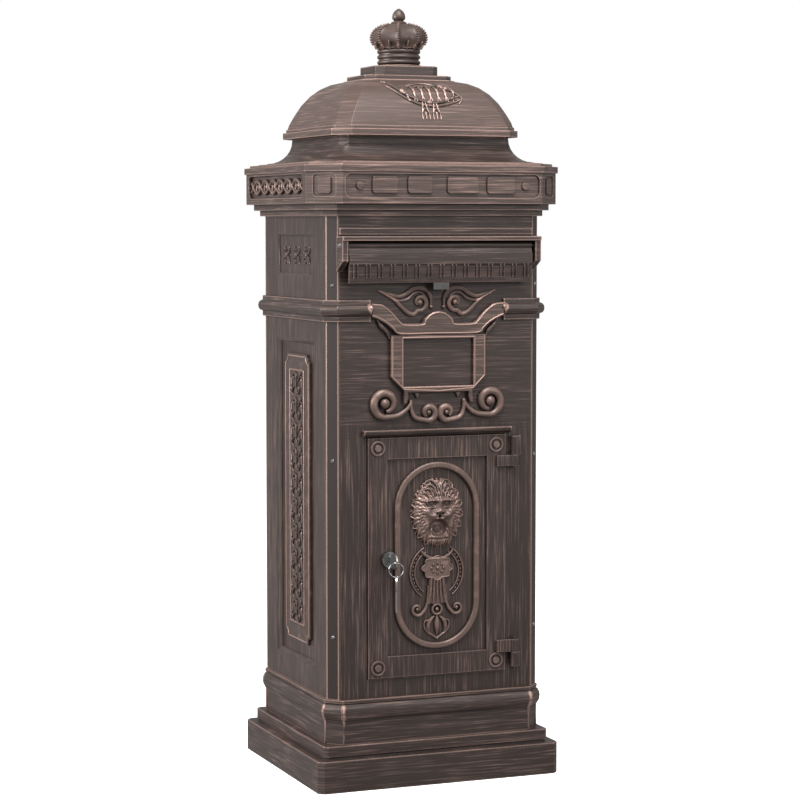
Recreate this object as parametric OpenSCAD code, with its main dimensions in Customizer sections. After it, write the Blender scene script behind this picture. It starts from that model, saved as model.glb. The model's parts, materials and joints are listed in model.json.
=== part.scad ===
// Free-standing pillar letterbox: cast-aluminium case on a plinth, hooded letter flap,
// hinged collection door with a cam lock, domed roof and crown finial.
// Millimetres, +Z up. The origin is on the ground at the centre of the case; the front faces -Y.

/* [Case] */
// Width over the two side panels
case_w = 299; // [298:0.5:300]
// Depth over the front and back panels
case_d = 268; // [267:0.5:269]
// Leg of the 45 degree corner facet
case_facet = 12; // [11.5:0.1:12.5]
// Height of the top of the pedestal, where the panels start
case_z0 = 118; // [117:0.5:119]
// Height of the top of the panels
case_z1 = 746.5; // [746:0.1:747]
// Thickness of the cast walls
wall = 4; // [3.5:0.1:4]

/* [Plinth] */
// Width of the lowest step
plinth_w = 342; // [340:1:346]
// Depth of the lowest step
plinth_d = 305; // [303:1:309]
// Height of the lowest step
plinth_h = 42; // [40:0.5:43]
// Height of the top of the second step
plinth_top = 59; // [58:0.5:60]
// Diameter of the four ground anchor holes
anchor_d = 14; // [10:0.5:16]
// Distance between the anchor holes from left to right
anchor_x = 220; // [200:5:240]
// Distance between the anchor holes from front to back
anchor_y = 180; // [160:5:200]

/* [Letter slot] */
// Width of the slot
slot_w = 240; // [220:1:240]
// Height of the bottom edge of the slot
slot_z0 = 667; // [666:0.5:668]
// Height of the top edge of the slot
slot_z1 = 697; // [694:0.5:698]
// Width of the flap
flap_w = 257; // [250:1:258]
// Height of the flap hinge axis
flap_axis_z = 708; // [707.5:0.1:708.5]
// Distance of the flap hinge axis in front of the panel
flap_axis_out = 12.5; // [12:0.1:13]

/* [Door] */
// Width of the collection door
door_w = 195; // [190:0.5:195]
// Height of the bottom edge of the door
door_z0 = 143.4; // [143:0.1:146]
// Height of the top edge of the door
door_z1 = 458.6; // [456:0.1:459]
// Gap between the door and its opening
door_gap = 1; // [0.8:0.1:1.2]
// Distance of the hinge axis to the right of the centre
hinge_x = 110; // [109.5:0.1:110.5]
// Diameter of the hinge pins
pin_d = 5; // [4:0.1:5.5]

/* [Lock and keys] */
// Distance of the lock to the left of the centre
lock_x = 70; // [69:0.5:71]
// Height of the lock
lock_z = 300; // [296:0.5:304]
// Diameter of the lock's round face
lock_d = 21; // [20:0.5:22]
// Diameter of the lock plug
plug_d = 13; // [12:0.1:13.5]
// Mean diameter of the key ring
ring_d = 18.6; // [18:0.1:19]

/* [Roof] */
// Width of the frieze
frieze_w = 353.4; // [353:0.1:355]
// Depth of the frieze
frieze_d = 317.6; // [317:0.1:319]
// Full height of the letterbox
total_h = 1025; // [1024:0.5:1026]

/* [Hidden] */
$fn = 48;

bronze = [0.30, 0.23, 0.20];
copper = [0.45, 0.34, 0.31];
chrome = [0.78, 0.80, 0.82];
steel = [0.60, 0.60, 0.58];
card_white = [0.86, 0.85, 0.80];

half_w = case_w / 2;
half_d = case_d / 2;
// Distance by which the case is shallower than it is wide, on each side
case_step = half_w - half_d;
face = -half_d;
seam = 0.3;
front_half = half_w - case_facet - 1.5;
side_half = half_d - case_facet - 1.5;
far = 600;
inner_w = half_w - wall;
inner_d = half_d - wall;
run_gap = 0.05;

// ---------------------------------------------------------------- helpers

// Rectangle with its corners cut off at 45 degrees
module facet_rect(half_x, half_y, facet) {
    polygon([[half_x - facet, -half_y], [half_x, -half_y + facet],
             [half_x, half_y - facet], [half_x - facet, half_y],
             [-half_x + facet, half_y], [-half_x, half_y - facet],
             [-half_x, -half_y + facet], [-half_x + facet, -half_y]]);
}

// Upright block with cut corners between two heights
module block(z0, z1, half_x, half_y, facet) {
    translate([0, 0, z0])
        linear_extrude(z1 - z0) facet_rect(half_x, half_y, facet);
}

// Box between two opposite corners
module box(low, high) {
    translate(low) cube(high - low);
}

// Leg of a corner facet on an outline that stands a distance outside the case
function facet_out(out) = case_facet + out * (2 - sqrt(2));

// Mirror-symmetric upright outline, given by its right edge, extruded along the horizontal
module upright_prism(pairs, turn) {
    last = len(pairs) - 1;
    left = [for (i = [last : -1 : 0]) [-pairs[i][0], pairs[i][1]]];
    rotate([0, 0, turn]) rotate([90, 0, 0])
        linear_extrude(far, center = true) polygon(concat(pairs, left));
}

// Moulding carried round the case: rows are [half width, height, corner facet], from the bottom up
module moulded(rows, step = case_step) {
    intersection() {
        upright_prism([for (r = rows) [r[0], r[1]]], 0);
        upright_prism([for (r = rows) [r[0] - step, r[1]]], 90);
        upright_prism([for (r = rows) [(2 * r[0] - step - r[2]) / sqrt(2), r[1]]], 45);
        upright_prism([for (r = rows) [(2 * r[0] - step - r[2]) / sqrt(2), r[1]]], -45);
    }
}

// Rows of a rounded band that swells from one half width to another
function swell(half_in, half_out, z0, z1, facet, steps = 6) =
    [for (i = [0 : steps]) let (a = 180 * i / steps)
        [half_in + (half_out - half_in) * sin(a), (z0 + z1) / 2 - cos(a) * (z1 - z0) / 2, facet]];

// Flat outline drawn in X and Z, extruded forwards from one depth to another
module relief(y_back, y_front) {
    translate([0, y_back, 0]) rotate([90, 0, 0])
        linear_extrude(y_back - y_front) children();
}

// The same shape again, mirrored to the other side
module both_sides() {
    children();
    mirror([1, 0, 0]) children();
}

// Rod along X
module rod_x(r, x0, x1, y, z) {
    translate([x0, y, z]) rotate([0, 90, 0]) cylinder(r = r, h = x1 - x0);
}

// Rod along Y
module rod_y(r, y0, y1, x, z) {
    translate([x, y0, z]) rotate([-90, 0, 0]) cylinder(r = r, h = y1 - y0);
}

// ---------------------------------------------------------------- base

module anchor_holes() {
    for (x = [-1, 1], y = [-1, 1])
        translate([x * anchor_x / 2, y * anchor_y / 2, -1]) cylinder(d = anchor_d, h = 10);
}

foot_t = 6;
plinth_groove = 3;
plinth_step = (plinth_w - plinth_d) / 2;
pedestal_half = 151;
pedestal_step = 12.5;
pedestal_facet = 19;
pedestal_wall = 6;

module plinth() {
    half = plinth_w / 2;
    color(bronze) difference() {
        union() {
            block(0, plinth_h, half, half - plinth_step, 7);
            block(plinth_h, plinth_h + plinth_groove, half - 13, half - plinth_step - 13, 5);
            block(plinth_h + plinth_groove, plinth_top, half - 11.5, half - plinth_step - 11, 5);
        }
        block(foot_t, plinth_h - 5, half - 6, half - plinth_step - 6, 6);
        block(foot_t, plinth_top + 1, pedestal_half - pedestal_wall,
              pedestal_half - pedestal_step - pedestal_wall, pedestal_facet - 3);
        anchor_holes();
    }
}

// Inner half width of the ledge at the pedestal's top, which carries the floor tray
ledge_half = 128;

module pedestal() {
    band_z0 = 93;
    band_z1 = 113;
    rows = concat([[pedestal_half, plinth_top, pedestal_facet]],
                  [[pedestal_half, band_z0 - 2, pedestal_facet]],
                  swell(pedestal_half, pedestal_half + 4.5, band_z0 - 2, band_z1, pedestal_facet),
                  [[pedestal_half + 1.5, band_z1 + 0.5, pedestal_facet]],
                  [[pedestal_half + 1.5, case_z0, pedestal_facet]]);
    color(bronze) difference() {
        moulded(rows, pedestal_step);
        block(plinth_top - 1, case_z0 - 6, pedestal_half - pedestal_wall,
              pedestal_half - pedestal_step - pedestal_wall, pedestal_facet - 3);
        block(case_z0 - 7, case_z0 + 1, ledge_half, ledge_half - case_step, 6);
    }
}

tray_z = 139;
sheet = 1.5;

module floor_tray() {
    half_x = inner_w - 12;
    half_y = inner_d - 4.5;
    color(steel) difference() {
        block(case_z0, tray_z, half_x, half_y, 14);
        block(case_z0 - 1, tray_z - sheet, half_x - sheet, half_y - sheet, 13);
    }
}

// ---------------------------------------------------------------- case walls

stop_reach = 7;
stop_t = 3;
door_half = door_w / 2;
opening_half = door_half + door_gap;

module front_panel() {
    color(bronze) difference() {
        union() {
            box([-front_half, face, case_z0], [front_half, face + wall, case_z1]);
            box([-opening_half - 6, face + wall, door_z0 - door_gap - 6],
                [opening_half + 6, face + wall + stop_t, door_z1 + door_gap + 6]);
        }
        box([-opening_half, face - 1, door_z0 - door_gap],
            [opening_half, face + wall, door_z1 + door_gap]);
        box([-opening_half + stop_reach, face - 1, door_z0 - door_gap + stop_reach],
            [opening_half - stop_reach, face + wall + stop_t + 1, door_z1 + door_gap - stop_reach]);
        box([-slot_w / 2, face - 1, slot_z0], [slot_w / 2, face + wall + 1, slot_z1]);
    }
}

field_half = 71;
field_z0 = 157;
field_z1 = 578;
field_depth = 7;
bevel = 5.5;
upper_z0 = 671;
upper_z1 = 720;
upper_depth = 4;

// Sunk field in a side panel: a bevelled edge and then a straight drop
module sunk_field(half, z0, z1, depth, edge) {
    x_out = half_w + 1;
    intersection() {
        linear_extrude(far * 2) polygon([[x_out, -half - edge - 1], [half_w - edge, -half],
            [half_w - depth, -half], [half_w - depth, half], [half_w - edge, half],
            [x_out, half + edge + 1]]);
        translate([0, far / 2, 0]) rotate([90, 0, 0])
            linear_extrude(far) polygon([[x_out, z0 - edge - 1], [half_w - edge, z0],
                [half_w - depth, z0], [half_w - depth, z1], [half_w - edge, z1],
                [x_out, z1 + edge + 1]]);
    }
}

module side_panel() {
    rim = 5;
    color(bronze) difference() {
        union() {
            box([half_w - wall, -side_half, case_z0], [half_w, side_half, case_z1]);
            box([half_w - field_depth - 3.5, -field_half - rim, field_z0 - rim],
                [half_w - wall, field_half + rim, field_z1 + rim]);
            box([half_w - upper_depth - 3.5, -field_half - rim, upper_z0 - rim],
                [half_w - wall, field_half + rim, upper_z1 + rim]);
        }
        sunk_field(field_half, field_z0, field_z1, field_depth, bevel);
        sunk_field(field_half - 1, upper_z0, upper_z1, upper_depth, 3);
    }
}

module left_panel() {
    mirror([1, 0, 0]) side_panel();
}

module right_panel() {
    side_panel();
}

module back_panel() {
    color(bronze) mirror([0, 1, 0])
        box([-front_half, face, case_z0], [front_half, face + wall, case_z1]);
}

// Corner post that shows as the 45 degree facet
module corner_post() {
    color(bronze) translate([0, 0, case_z0]) linear_extrude(case_z1 - case_z0)
        polygon([[front_half + seam, face], [half_w - case_facet, face],
                 [half_w, face + case_facet], [half_w, -side_half - seam],
                 [half_w - 6, -side_half - seam], [front_half + seam, face + 6]]);
}

module front_right_post() {
    corner_post();
}

module front_left_post() {
    mirror([1, 0, 0]) corner_post();
}

module back_right_post() {
    mirror([0, 1, 0]) corner_post();
}

module back_left_post() {
    mirror([1, 0, 0]) mirror([0, 1, 0]) corner_post();
}

angle_leg = 13;
angle_t = 3;

// Steel angle that ties a front or back panel to a side panel behind the corner post
module corner_angle() {
    translate([0, 0, tray_z + 1]) linear_extrude(case_z1 - tray_z - 2)
        polygon([[front_half - angle_leg, face + wall], [front_half, face + wall],
                 [front_half, face + 6.3], [half_w - 6.3, -side_half],
                 [half_w - wall, -side_half], [half_w - wall, -side_half + angle_leg],
                 [half_w - wall - angle_t, -side_half + angle_leg],
                 [half_w - wall - angle_t, -side_half + 3.5], [front_half - 3, face + wall + angle_t],
                 [front_half - angle_leg, face + wall + angle_t]]);
}

module corner_angles() {
    color(steel) both_sides() {
        corner_angle();
        mirror([0, 1, 0]) corner_angle();
    }
}

// Heights of the screws that hold each corner post to its angle
post_screw_z = [200, 430, 657];

module post_screw() {
    mid = [half_w - case_facet / 2, face + case_facet / 2];
    for (z = post_screw_z)
        translate([mid[0], mid[1], z]) rotate([0, 0, -45]) rotate([0, 90, 0])
            cylinder(r1 = 2.6, r2 = 1.8, h = 1.2);
}

module post_screws() {
    color(chrome) both_sides() {
        post_screw();
        mirror([0, 1, 0]) post_screw();
    }
}

// ---------------------------------------------------------------- letter slot

module head_rail() {
    color(bronze) box([-front_half, face - 3, 722], [front_half, face, 731]);
}

hood_half = 139.5;
hood_out = 24;
lip_z0 = 714.5;
lip_z1 = 720;
cheek_t = 8;
axis_y = face - flap_axis_out;
flap_pin_r = 2.5;

module hood() {
    color(bronze) difference() {
        union() {
            relief(face, face - hood_out)
                polygon([[-hood_half, lip_z0], [hood_half, lip_z0], [hood_half, lip_z1],
                         [-hood_half, lip_z1]]);
            both_sides() translate([hood_half - cheek_t, 0, 0]) rotate([90, 0, 90])
                linear_extrude(cheek_t)
                    polygon([[face, lip_z0], [face - hood_out + 2, lip_z0],
                             [face - hood_out + 2, 688], [face, 675]]);
        }
        both_sides() rod_x(flap_pin_r + run_gap, hood_half - cheek_t - 1, hood_half + 1,
                           axis_y, flap_axis_z);
    }
}

flap_half = flap_w / 2;
barrel_r = 5;
barrel_len = 14;

module flap_pins() {
    color(chrome) both_sides() {
        rod_x(flap_pin_r, flap_half - barrel_len + 2, hood_half, axis_y, flap_axis_z);
        translate([hood_half, axis_y, flap_axis_z]) rotate([0, 90, 0])
            cylinder(r1 = 4, r2 = 2.8, h = 2.2);
    }
}

// Side view of the flap plate, in Y and Z
flap_top_z = 706;
flap_low_z = 660;
band_z0 = 684;
band_z1 = 697;

module flap() {
    color(copper) difference() {
        union() {
            translate([-flap_half, 0, 0]) rotate([90, 0, 90]) linear_extrude(flap_w)
                polygon([[axis_y + 1, flap_top_z], [axis_y - 3.5, flap_top_z],
                         [axis_y - 5, band_z1 + 1], [axis_y - 6.5, band_z1],
                         [axis_y - 6.5, band_z0], [axis_y - 5, band_z0 - 1],
                         [axis_y - 3.5, flap_low_z], [axis_y - 0.5, flap_low_z],
                         [axis_y - 2, band_z0], [axis_y - 2, band_z1]]);
            rod_x(barrel_r, -flap_half, flap_half, axis_y, flap_axis_z);
        }
        both_sides() rod_x(flap_pin_r + run_gap, flap_half - barrel_len - 1, flap_half + 1,
                           axis_y, flap_axis_z);
    }
}

module lift_tab() {
    color(chrome) difference() {
        box([-11, axis_y - 3, 651], [11, axis_y + 3, flap_low_z]);
        box([-12, axis_y - 0.5, 656], [12, axis_y + 4, flap_low_z + 1]);
    }
}

module letter_chute() {
    top = slot_z0 - 2.5;
    back = face + wall;
    color(steel) translate([-slot_w / 2, 0, 0]) rotate([90, 0, 90]) linear_extrude(slot_w)
        polygon([[back, top - 22], [back, top], [back + sheet, top], [back + 56, top - 24],
                 [back + 56, top - 26], [back + sheet, top - 2], [back + sheet, top - 22]]);
}

// ---------------------------------------------------------------- front ornaments

belt_z0 = 610;
belt_z1 = 638;
belt_gap = 94;

module belt_moulding() {
    fillet = half_w + 4.2;
    facet = facet_out(7);
    rows = concat([[fillet, belt_z0, facet]],
                  [[fillet, belt_z0 + 7, facet]],
                  swell(fillet + 1, half_w + 9.2, 617.5, 631.5, facet),
                  [[fillet, 632.5, facet]],
                  [[fillet, belt_z1, facet]]);
    color(copper) {
        difference() {
            moulded(rows);
            block(belt_z0 - 1, belt_z1 + 1, half_w, half_d, case_facet);
            box([-belt_gap, face - 20, belt_z0 - 1], [belt_gap, 0, belt_z1 + 1]);
        }
    }
}

module half_outline(points) {
    last = len(points) - 1;
    polygon(concat(points, [for (i = [last : -1 : 0]) [-points[i][0], points[i][1]]]));
}

plate_out = 7.5;

module cartouche() {
    color(copper) relief(face, face - plate_out)
        half_outline([[0, 592], [54.5, 592], [63, 598], [71, 605], [83, 612], [93.5, 616],
                      [93.5, 634], [78, 632], [65, 622], [55, 611], [48.5, 607], [23, 607],
                      [20, 613], [15, 617], [8, 621.5], [0, 623]]);
}

window_half = 49.5;
frame_half = 66.5;

module name_frame() {
    color(copper) difference() {
        relief(face, face - plate_out)
            half_outline([[0, 517], [43, 517], [42.5, 512], [45, 503], [49, 503], [48, 520],
                          [frame_half, 537], [frame_half, 591.7], [0, 591.7]]);
        relief(face + 1, face - plate_out - 1)
            polygon([[-window_half, 525], [window_half, 525], [window_half, 587],
                     [-window_half, 587]]);
    }
}

module name_card() {
    color(bronze) box([-window_half + 0.2, face - 2, 525.2], [window_half - 0.2, face, 586.8]);
}

module upper_scroll() {
    relief(face, face - 5) {
        polygon([[82, 650], [70, 646], [55, 643], [45, 647], [35, 654], [25, 655], [15, 651],
                 [9, 641], [8, 632], [14, 627], [16, 632], [15, 640], [20, 646], [30, 648],
                 [42, 640], [55, 637], [66, 641]]);
        translate([25, 633]) difference() {
            circle(r = 10);
            circle(r = 5.5);
        }
        translate([24, 634]) circle(r = 3);
        polygon([[82, 650], [60, 640], [50, 632], [42, 622], [34, 619], [24, 623.5],
                 [24, 617.5], [32, 613], [43, 617], [52, 629], [61, 637]]);
    }
}

module upper_scrolls() {
    color(copper) both_sides() upper_scroll();
}

module lower_scroll() {
    relief(face, face - 8) {
        translate([74, 503]) difference() {
            circle(r = 21.5);
            circle(r = 13);
        }
        translate([75, 505]) circle(r = 8);
        polygon([[60, 484], [74, 481.5], [74, 489.5], [62, 492], [52, 499], [36, 507],
                 [36, 498], [46, 490]]);
        translate([12, 490]) difference() {
            circle(r = 13);
            circle(r = 7.5);
        }
        translate([11, 492]) circle(r = 4);
        polygon([[36, 507], [40, 492], [34, 480], [22, 475], [8, 478], [8, 485], [21, 482],
                 [29, 486], [32, 494]]);
    }
}

module lower_scrolls() {
    color(copper) both_sides() {
        lower_scroll();
        relief(face, face - 4) polygon([[25, 516.7], [33, 516.7], [29, 509]]);
    }
}

module door_head() {
    color(copper) translate([-104.5, 0, 0]) rotate([90, 0, 90]) linear_extrude(209)
        polygon([[face, 460], [face - 3, 460], [face - 8, 463.5], [face - 9, 466],
                 [face - 9, 469], [face, 469]]);
}

// ---------------------------------------------------------------- door

door_out = 3;
door_face = face - door_out;
door_edge_back = face + wall - 1;
door_back = face + wall + 0.5;
hinge_y = face - 7;
lug_r = 5.5;
stile = 26.5;
rail = 28;
panel_sink = 4;
door_field = door_face + panel_sink;

// Heights of the hinge pieces
upper_panel_lug = [431, 456];
upper_door_lug = [416, 430.7];
lower_door_lug = [167.3, 184];
lower_panel_lug = [148, 167];

// Knuckle on the hinge axis between two heights
module knuckle(span) {
    translate([hinge_x, hinge_y, span[0]]) cylinder(r = lug_r, h = span[1] - span[0]);
}

module pin_hole(span, r) {
    translate([hinge_x, hinge_y, span[0] - 1]) cylinder(r = r, h = span[1] - span[0] + 2);
}

module panel_lugs() {
    color(bronze) for (span = [upper_panel_lug, lower_panel_lug]) difference() {
        union() {
            knuckle(span);
            box([hinge_x - 4, hinge_y, span[0]], [hinge_x + 8, face, span[1]]);
        }
        pin_hole(span, pin_d / 2);
    }
}

module door_lugs() {
    color(bronze) for (span = [upper_door_lug, lower_door_lug]) difference() {
        union() {
            knuckle(span);
            box([hinge_x - 26, door_face - 5, span[0]], [hinge_x, door_face, span[1]]);
        }
        pin_hole(span, pin_d / 2 + run_gap);
    }
}

module hinge_pins() {
    color(chrome) {
        translate([hinge_x, hinge_y, upper_door_lug[0] - 2])
            cylinder(d = pin_d, h = upper_panel_lug[1] - upper_door_lug[0] + 2);
        translate([hinge_x, hinge_y, lower_panel_lug[0]])
            cylinder(d = pin_d, h = lower_door_lug[1] - lower_panel_lug[0] + 3);
    }
}

lock_hole_r = 8.2;

module door() {
    inner = opening_half - stop_reach - 2;
    color(bronze) difference() {
        union() {
            box([-door_half, door_face, door_z0], [door_half, door_edge_back, door_z1]);
            box([-inner, door_edge_back, door_z0 + stop_reach + 2],
                [inner, door_back, door_z1 - stop_reach - 2]);
        }
        box([-door_half + stile, door_face - 1, door_z0 + rail],
            [door_half - stile, door_field, door_z1 - rail]);
        rod_y(lock_hole_r, door_face - 2, door_back + 2, -lock_x, lock_z);
    }
}

bead_half = 60;
bead_w = 8;
bead_z0 = 178;
bead_z1 = 425;

// Outline of a slot shape with fully round ends
module stadium(half, z0, z1) {
    translate([0, z0 + half]) circle(r = half, $fn = 96);
    translate([0, z1 - half]) circle(r = half, $fn = 96);
    translate([-half, z0 + half]) square([2 * half, z1 - z0 - 2 * half]);
}

module door_bead() {
    color(copper) difference() {
        relief(door_field, door_face - 2) difference() {
            stadium(bead_half, bead_z0, bead_z1);
            stadium(bead_half - bead_w, bead_z0 + bead_w, bead_z1 - bead_w);
        }
        rod_y(lock_d / 2 + 0.5, door_face - 9, door_field + 1, -lock_x, lock_z);
    }
}

module door_roundels() {
    inset = 13.5;
    color(copper) both_sides() for (z = [door_z0 + inset, door_z1 - inset])
        translate([door_half - inset, door_face, z]) rotate([90, 0, 0]) {
            difference() {
                cylinder(r = 10, h = 1.8);
                translate([0, 0, -1]) cylinder(r = 7.5, h = 4);
            }
            cylinder(r = 4.5, h = 2.4);
        }
}

module lion_mask() {
    color(copper) hull() {
        translate([0, door_field, 358]) rotate([90, 0, 0]) cylinder(r = 36, h = 6, $fn = 32);
        translate([0, door_field, 394]) rotate([90, 0, 0]) cylinder(r = 9, h = 5, $fn = 32);
        translate([0, door_field, 340]) rotate([90, 0, 0]) cylinder(r = 30, h = 5, $fn = 32);
        translate([0, door_field, 356]) rotate([90, 0, 0]) cylinder(r = 16, h = 18, $fn = 32);
        translate([0, door_field, 346]) rotate([90, 0, 0]) cylinder(r = 9, h = 24, $fn = 32);
    }
}

module door_pendant() {
    color(copper) {
        relief(door_field, door_field - 9) {
            translate([0, 290]) circle(r = 20);
            half_outline([[0, 236], [13, 236], [11, 250], [12, 278], [0, 278]]);
            half_outline([[0, 276], [18, 300], [22, 308.5], [0, 304]]);
        }
        relief(door_field, door_field - 5) {
            difference() {
                translate([0, 279]) circle(r = 38);
                translate([0, 279]) circle(r = 34.5);
                translate([-40, 310]) square([80, 40]);
                translate([-26, 230]) square([52, 24]);
            }
            both_sides() {
                translate([28, 231]) difference() {
                    circle(r = 10);
                    circle(r = 6);
                }
                translate([28, 231]) circle(r = 2.5);
                polygon([[11, 242], [14, 228], [28, 221], [28, 225], [19, 231], [15, 243]]);
            }
            translate([0, 230]) circle(r = 9.5);
            half_outline([[0, 190.5], [9, 193], [17, 203], [18, 216], [0, 222]]);
        }
    }
}

// ---------------------------------------------------------------- lock and keys

lock_face = door_face - 8;
plug_back = door_back + 14;
cam_len = 37;
blade_h = 8;
blade_t = 2.2;
blade_in = 22;
bow_r = 10.5;
bow_hole_r = 2.5;
wire_r = 0.9;
bow_out = 22;
ring_yaw = -20;
// Depth and height of the hole in the bow of the key that is in the lock
hole_y = lock_face - bow_out;
ring_top_z = lock_z - bow_hole_r + wire_r + 0.4;
ring_z = ring_top_z - ring_d / 2;

module lock_body() {
    color(chrome) difference() {
        union() {
            rod_y(lock_d / 2, lock_face, door_face, -lock_x, lock_z);
            rod_y(lock_hole_r - 0.2, door_face, plug_back - 3, -lock_x, lock_z);
        }
        rod_y(plug_d / 2 + run_gap, lock_face - 1, plug_back, -lock_x, lock_z);
    }
}

module lock_nut() {
    color(steel) difference() {
        translate([-lock_x, door_back + 4, lock_z]) rotate([90, 0, 0])
            cylinder(r = 12, h = 4, $fn = 6);
        rod_y(lock_hole_r - 0.2, door_back - 1, door_back + 6, -lock_x, lock_z);
    }
}

module lock_plug() {
    slot_t = blade_t + 0.5;
    slot_h = blade_h + 0.5;
    color(chrome) difference() {
        rod_y(plug_d / 2, lock_face + 0.5, plug_back - 2.4, -lock_x, lock_z);
        box([-lock_x - slot_t / 2, lock_face - 1, lock_z - slot_h / 2],
            [-lock_x + slot_t / 2, lock_face + blade_in + 1, lock_z + slot_h / 2]);
    }
}

module lock_cam() {
    y0 = plug_back - 2.4;
    color(steel) difference() {
        union() {
            rod_y(8, y0, y0 + 2, -lock_x, lock_z);
            box([-lock_x - 7, y0, lock_z - cam_len], [-lock_x + 7, y0 + 2, lock_z]);
        }
        rod_y(2.5, y0 - 1, y0 + 3, -lock_x, lock_z);
    }
}

module cam_screw() {
    y0 = plug_back - 0.4;
    color(steel) {
        rod_y(2.5, y0 - 2, y0, -lock_x, lock_z);
        rod_y(4.2, y0, y0 + 2.5, -lock_x, lock_z);
    }
}

// Flat key with its bow hole at the origin, its blade along -Z and its faces across X
module key_shape() {
    rotate([90, 0, 90]) linear_extrude(blade_t, center = true) difference() {
        union() {
            translate([0, -7]) circle(r = bow_r);
            translate([-blade_h / 2, -bow_out]) square([blade_h, 10]);
            translate([-blade_h / 2, -bow_out - blade_in])
                square([blade_h, blade_in + 4]);
        }
        circle(r = bow_hole_r);
        // Bitting cuts along one edge of the blade
        for (i = [0 : 3])
            translate([blade_h / 2, -bow_out - 4 - 4.4 * i])
                rotate(45) square(1.8 + 0.5 * (i % 2), center = true);
    }
}

module key() {
    color(steel) translate([-lock_x, hole_y, lock_z]) rotate([90, 0, 0]) key_shape();
}

module key_ring() {
    color(chrome) translate([-lock_x, hole_y, ring_z]) rotate([0, 0, ring_yaw])
        rotate([90, 0, 0]) rotate_extrude($fn = 64) translate([ring_d / 2, 0]) circle(r = wire_r);
}

module spare_key() {
    z = ring_top_z - ring_d - (bow_hole_r - wire_r - 0.4);
    color(steel) translate([-lock_x, hole_y, z]) rotate([0, 0, ring_yaw]) key_shape();
}

// ---------------------------------------------------------------- side ornaments

plaque_t = 4.2;
plaque_half = 49;
plaque_z0 = 175;
plaque_z1 = 563;
strip_half = 27.5;
strip_z0 = 200;
strip_z1 = 541;

module side_relief(x_back, x_front) {
    translate([x_back, 0, 0]) rotate([90, 0, 90]) linear_extrude(x_front - x_back) children();
}

module right_plaque() {
    back = half_w - field_depth;
    color(bronze) {
        side_relief(back, back + plaque_t) difference() {
            translate([-plaque_half, plaque_z0])
                square([2 * plaque_half, plaque_z1 - plaque_z0]);
            for (y = [-plaque_half, plaque_half], z = [plaque_z0, plaque_z1])
                translate([y, z]) circle(r = 10);
        }
        side_relief(back + plaque_t, half_w - 0.2)
            translate([-strip_half, strip_z0])
                square([2 * strip_half, strip_z1 - strip_z0]);
    }
}

module left_plaque() {
    mirror([1, 0, 0]) right_plaque();
}

module right_motifs() {
    color(copper) side_relief(half_w - upper_depth, half_w - 0.5)
        for (y = [-40, 0, 40]) translate([y, (upper_z0 + upper_z1) / 2 - 1]) {
            circle(r = 7);
            for (turn = [0 : 90 : 270]) rotate(turn + 45) translate([10, 0]) circle(r = 7);
        }
}

module left_motifs() {
    mirror([1, 0, 0]) right_motifs();
}

// ---------------------------------------------------------------- cornice and roof

frieze_half = frieze_w / 2;
frieze_step = (frieze_w - frieze_d) / 2;
frieze_facet = 37;
frieze_z0 = 762;
frieze_z1 = 803;
slab_z1 = 811.6;
panel_z0 = 770;
panel_z1 = 800;
rod_hole_r = 5.2;

// Rounded rectangle drawn about the origin
module soft_rect(half_x, half_y, r) {
    for (x = [-1, 1], y = [-1, 1]) translate([x * (half_x - r), y * (half_y - r)]) circle(r = r);
    square([2 * (half_x - r), 2 * half_y], center = true);
    square([2 * half_x, 2 * (half_y - r)], center = true);
}

// Puts a shape that faces -Y onto one of the four corner facets of the frieze
module on_facet(quarter) {
    middle = [frieze_half - frieze_facet / 2, frieze_half - frieze_step - frieze_facet / 2];
    sx = quarter == 0 || quarter == 3 ? 1 : -1;
    sy = quarter < 2 ? -1 : 1;
    turn = quarter == 0 ? 45 : quarter == 1 ? -45 : quarter == 2 ? -135 : 135;
    translate([sx * middle[0], sy * middle[1], 0]) rotate([0, 0, turn]) children();
}

module cornice() {
    mid = (panel_z0 + panel_z1) / 2;
    front = -frieze_half + frieze_step;
    color(bronze) difference() {
        union() {
            block(case_z1, 754, 156.5, 139.5, 16);
            block(754, frieze_z0, 164.5, 147, 21);
            block(frieze_z0, frieze_z1, frieze_half, frieze_half - frieze_step, frieze_facet);
            block(frieze_z1, slab_z1, frieze_half + 2.3, frieze_half - frieze_step + 1.7,
                  frieze_facet);
        }
        block(case_z1 - 1, frieze_z0 + 4, 146, 129, 14);
        block(frieze_z0 + 3, slab_z1 - 5, frieze_half - 9, frieze_half - frieze_step - 9,
              frieze_facet - 5);
        relief(front + 3, front - 1) translate([0, mid]) soft_rect(136, 15, 8);
        both_sides() side_relief(frieze_half - 5, frieze_half + 1)
            translate([0, mid]) soft_rect(110, 15, 6);
        for (quarter = [0 : 3]) on_facet(quarter)
            relief(1.5, -2) translate([0, mid]) soft_rect(16, 14, 5);
        translate([0, 0, slab_z1 - 8]) cylinder(r = rod_hole_r, h = 12);
    }
}

block_spans = [[-99, -64], [-50, -16], [5, 49], [61, 101]];
stud_x = 116;

module frieze_blocks() {
    front = -frieze_half + frieze_step;
    mid = (panel_z0 + panel_z1) / 2;
    color(copper) {
        relief(front + 3, front) for (span = block_spans)
            translate([(span[0] + span[1]) / 2, mid + 1])
                soft_rect((span[1] - span[0]) / 2, 11, 4);
        both_sides() rod_y(5, front, front + 3, stud_x, mid);
    }
}

wave_mid = 14;
wave_pitch = 33;

module frieze_waves() {
    mid = (panel_z0 + panel_z1) / 2;
    color(copper) both_sides() side_relief(frieze_half - 5, frieze_half - 0.5) {
        for (side = [-1, 1]) {
            for (i = [0 : 2]) translate([side * (wave_mid + wave_pitch * i), mid]) circle(r = 10);
            translate([side * 50, mid]) square([84, 7], center = true);
            translate([side * 101, mid - 2]) circle(r = 6);
        }
        translate([0, mid + 3]) square([16, 5], center = true);
    }
}

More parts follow.
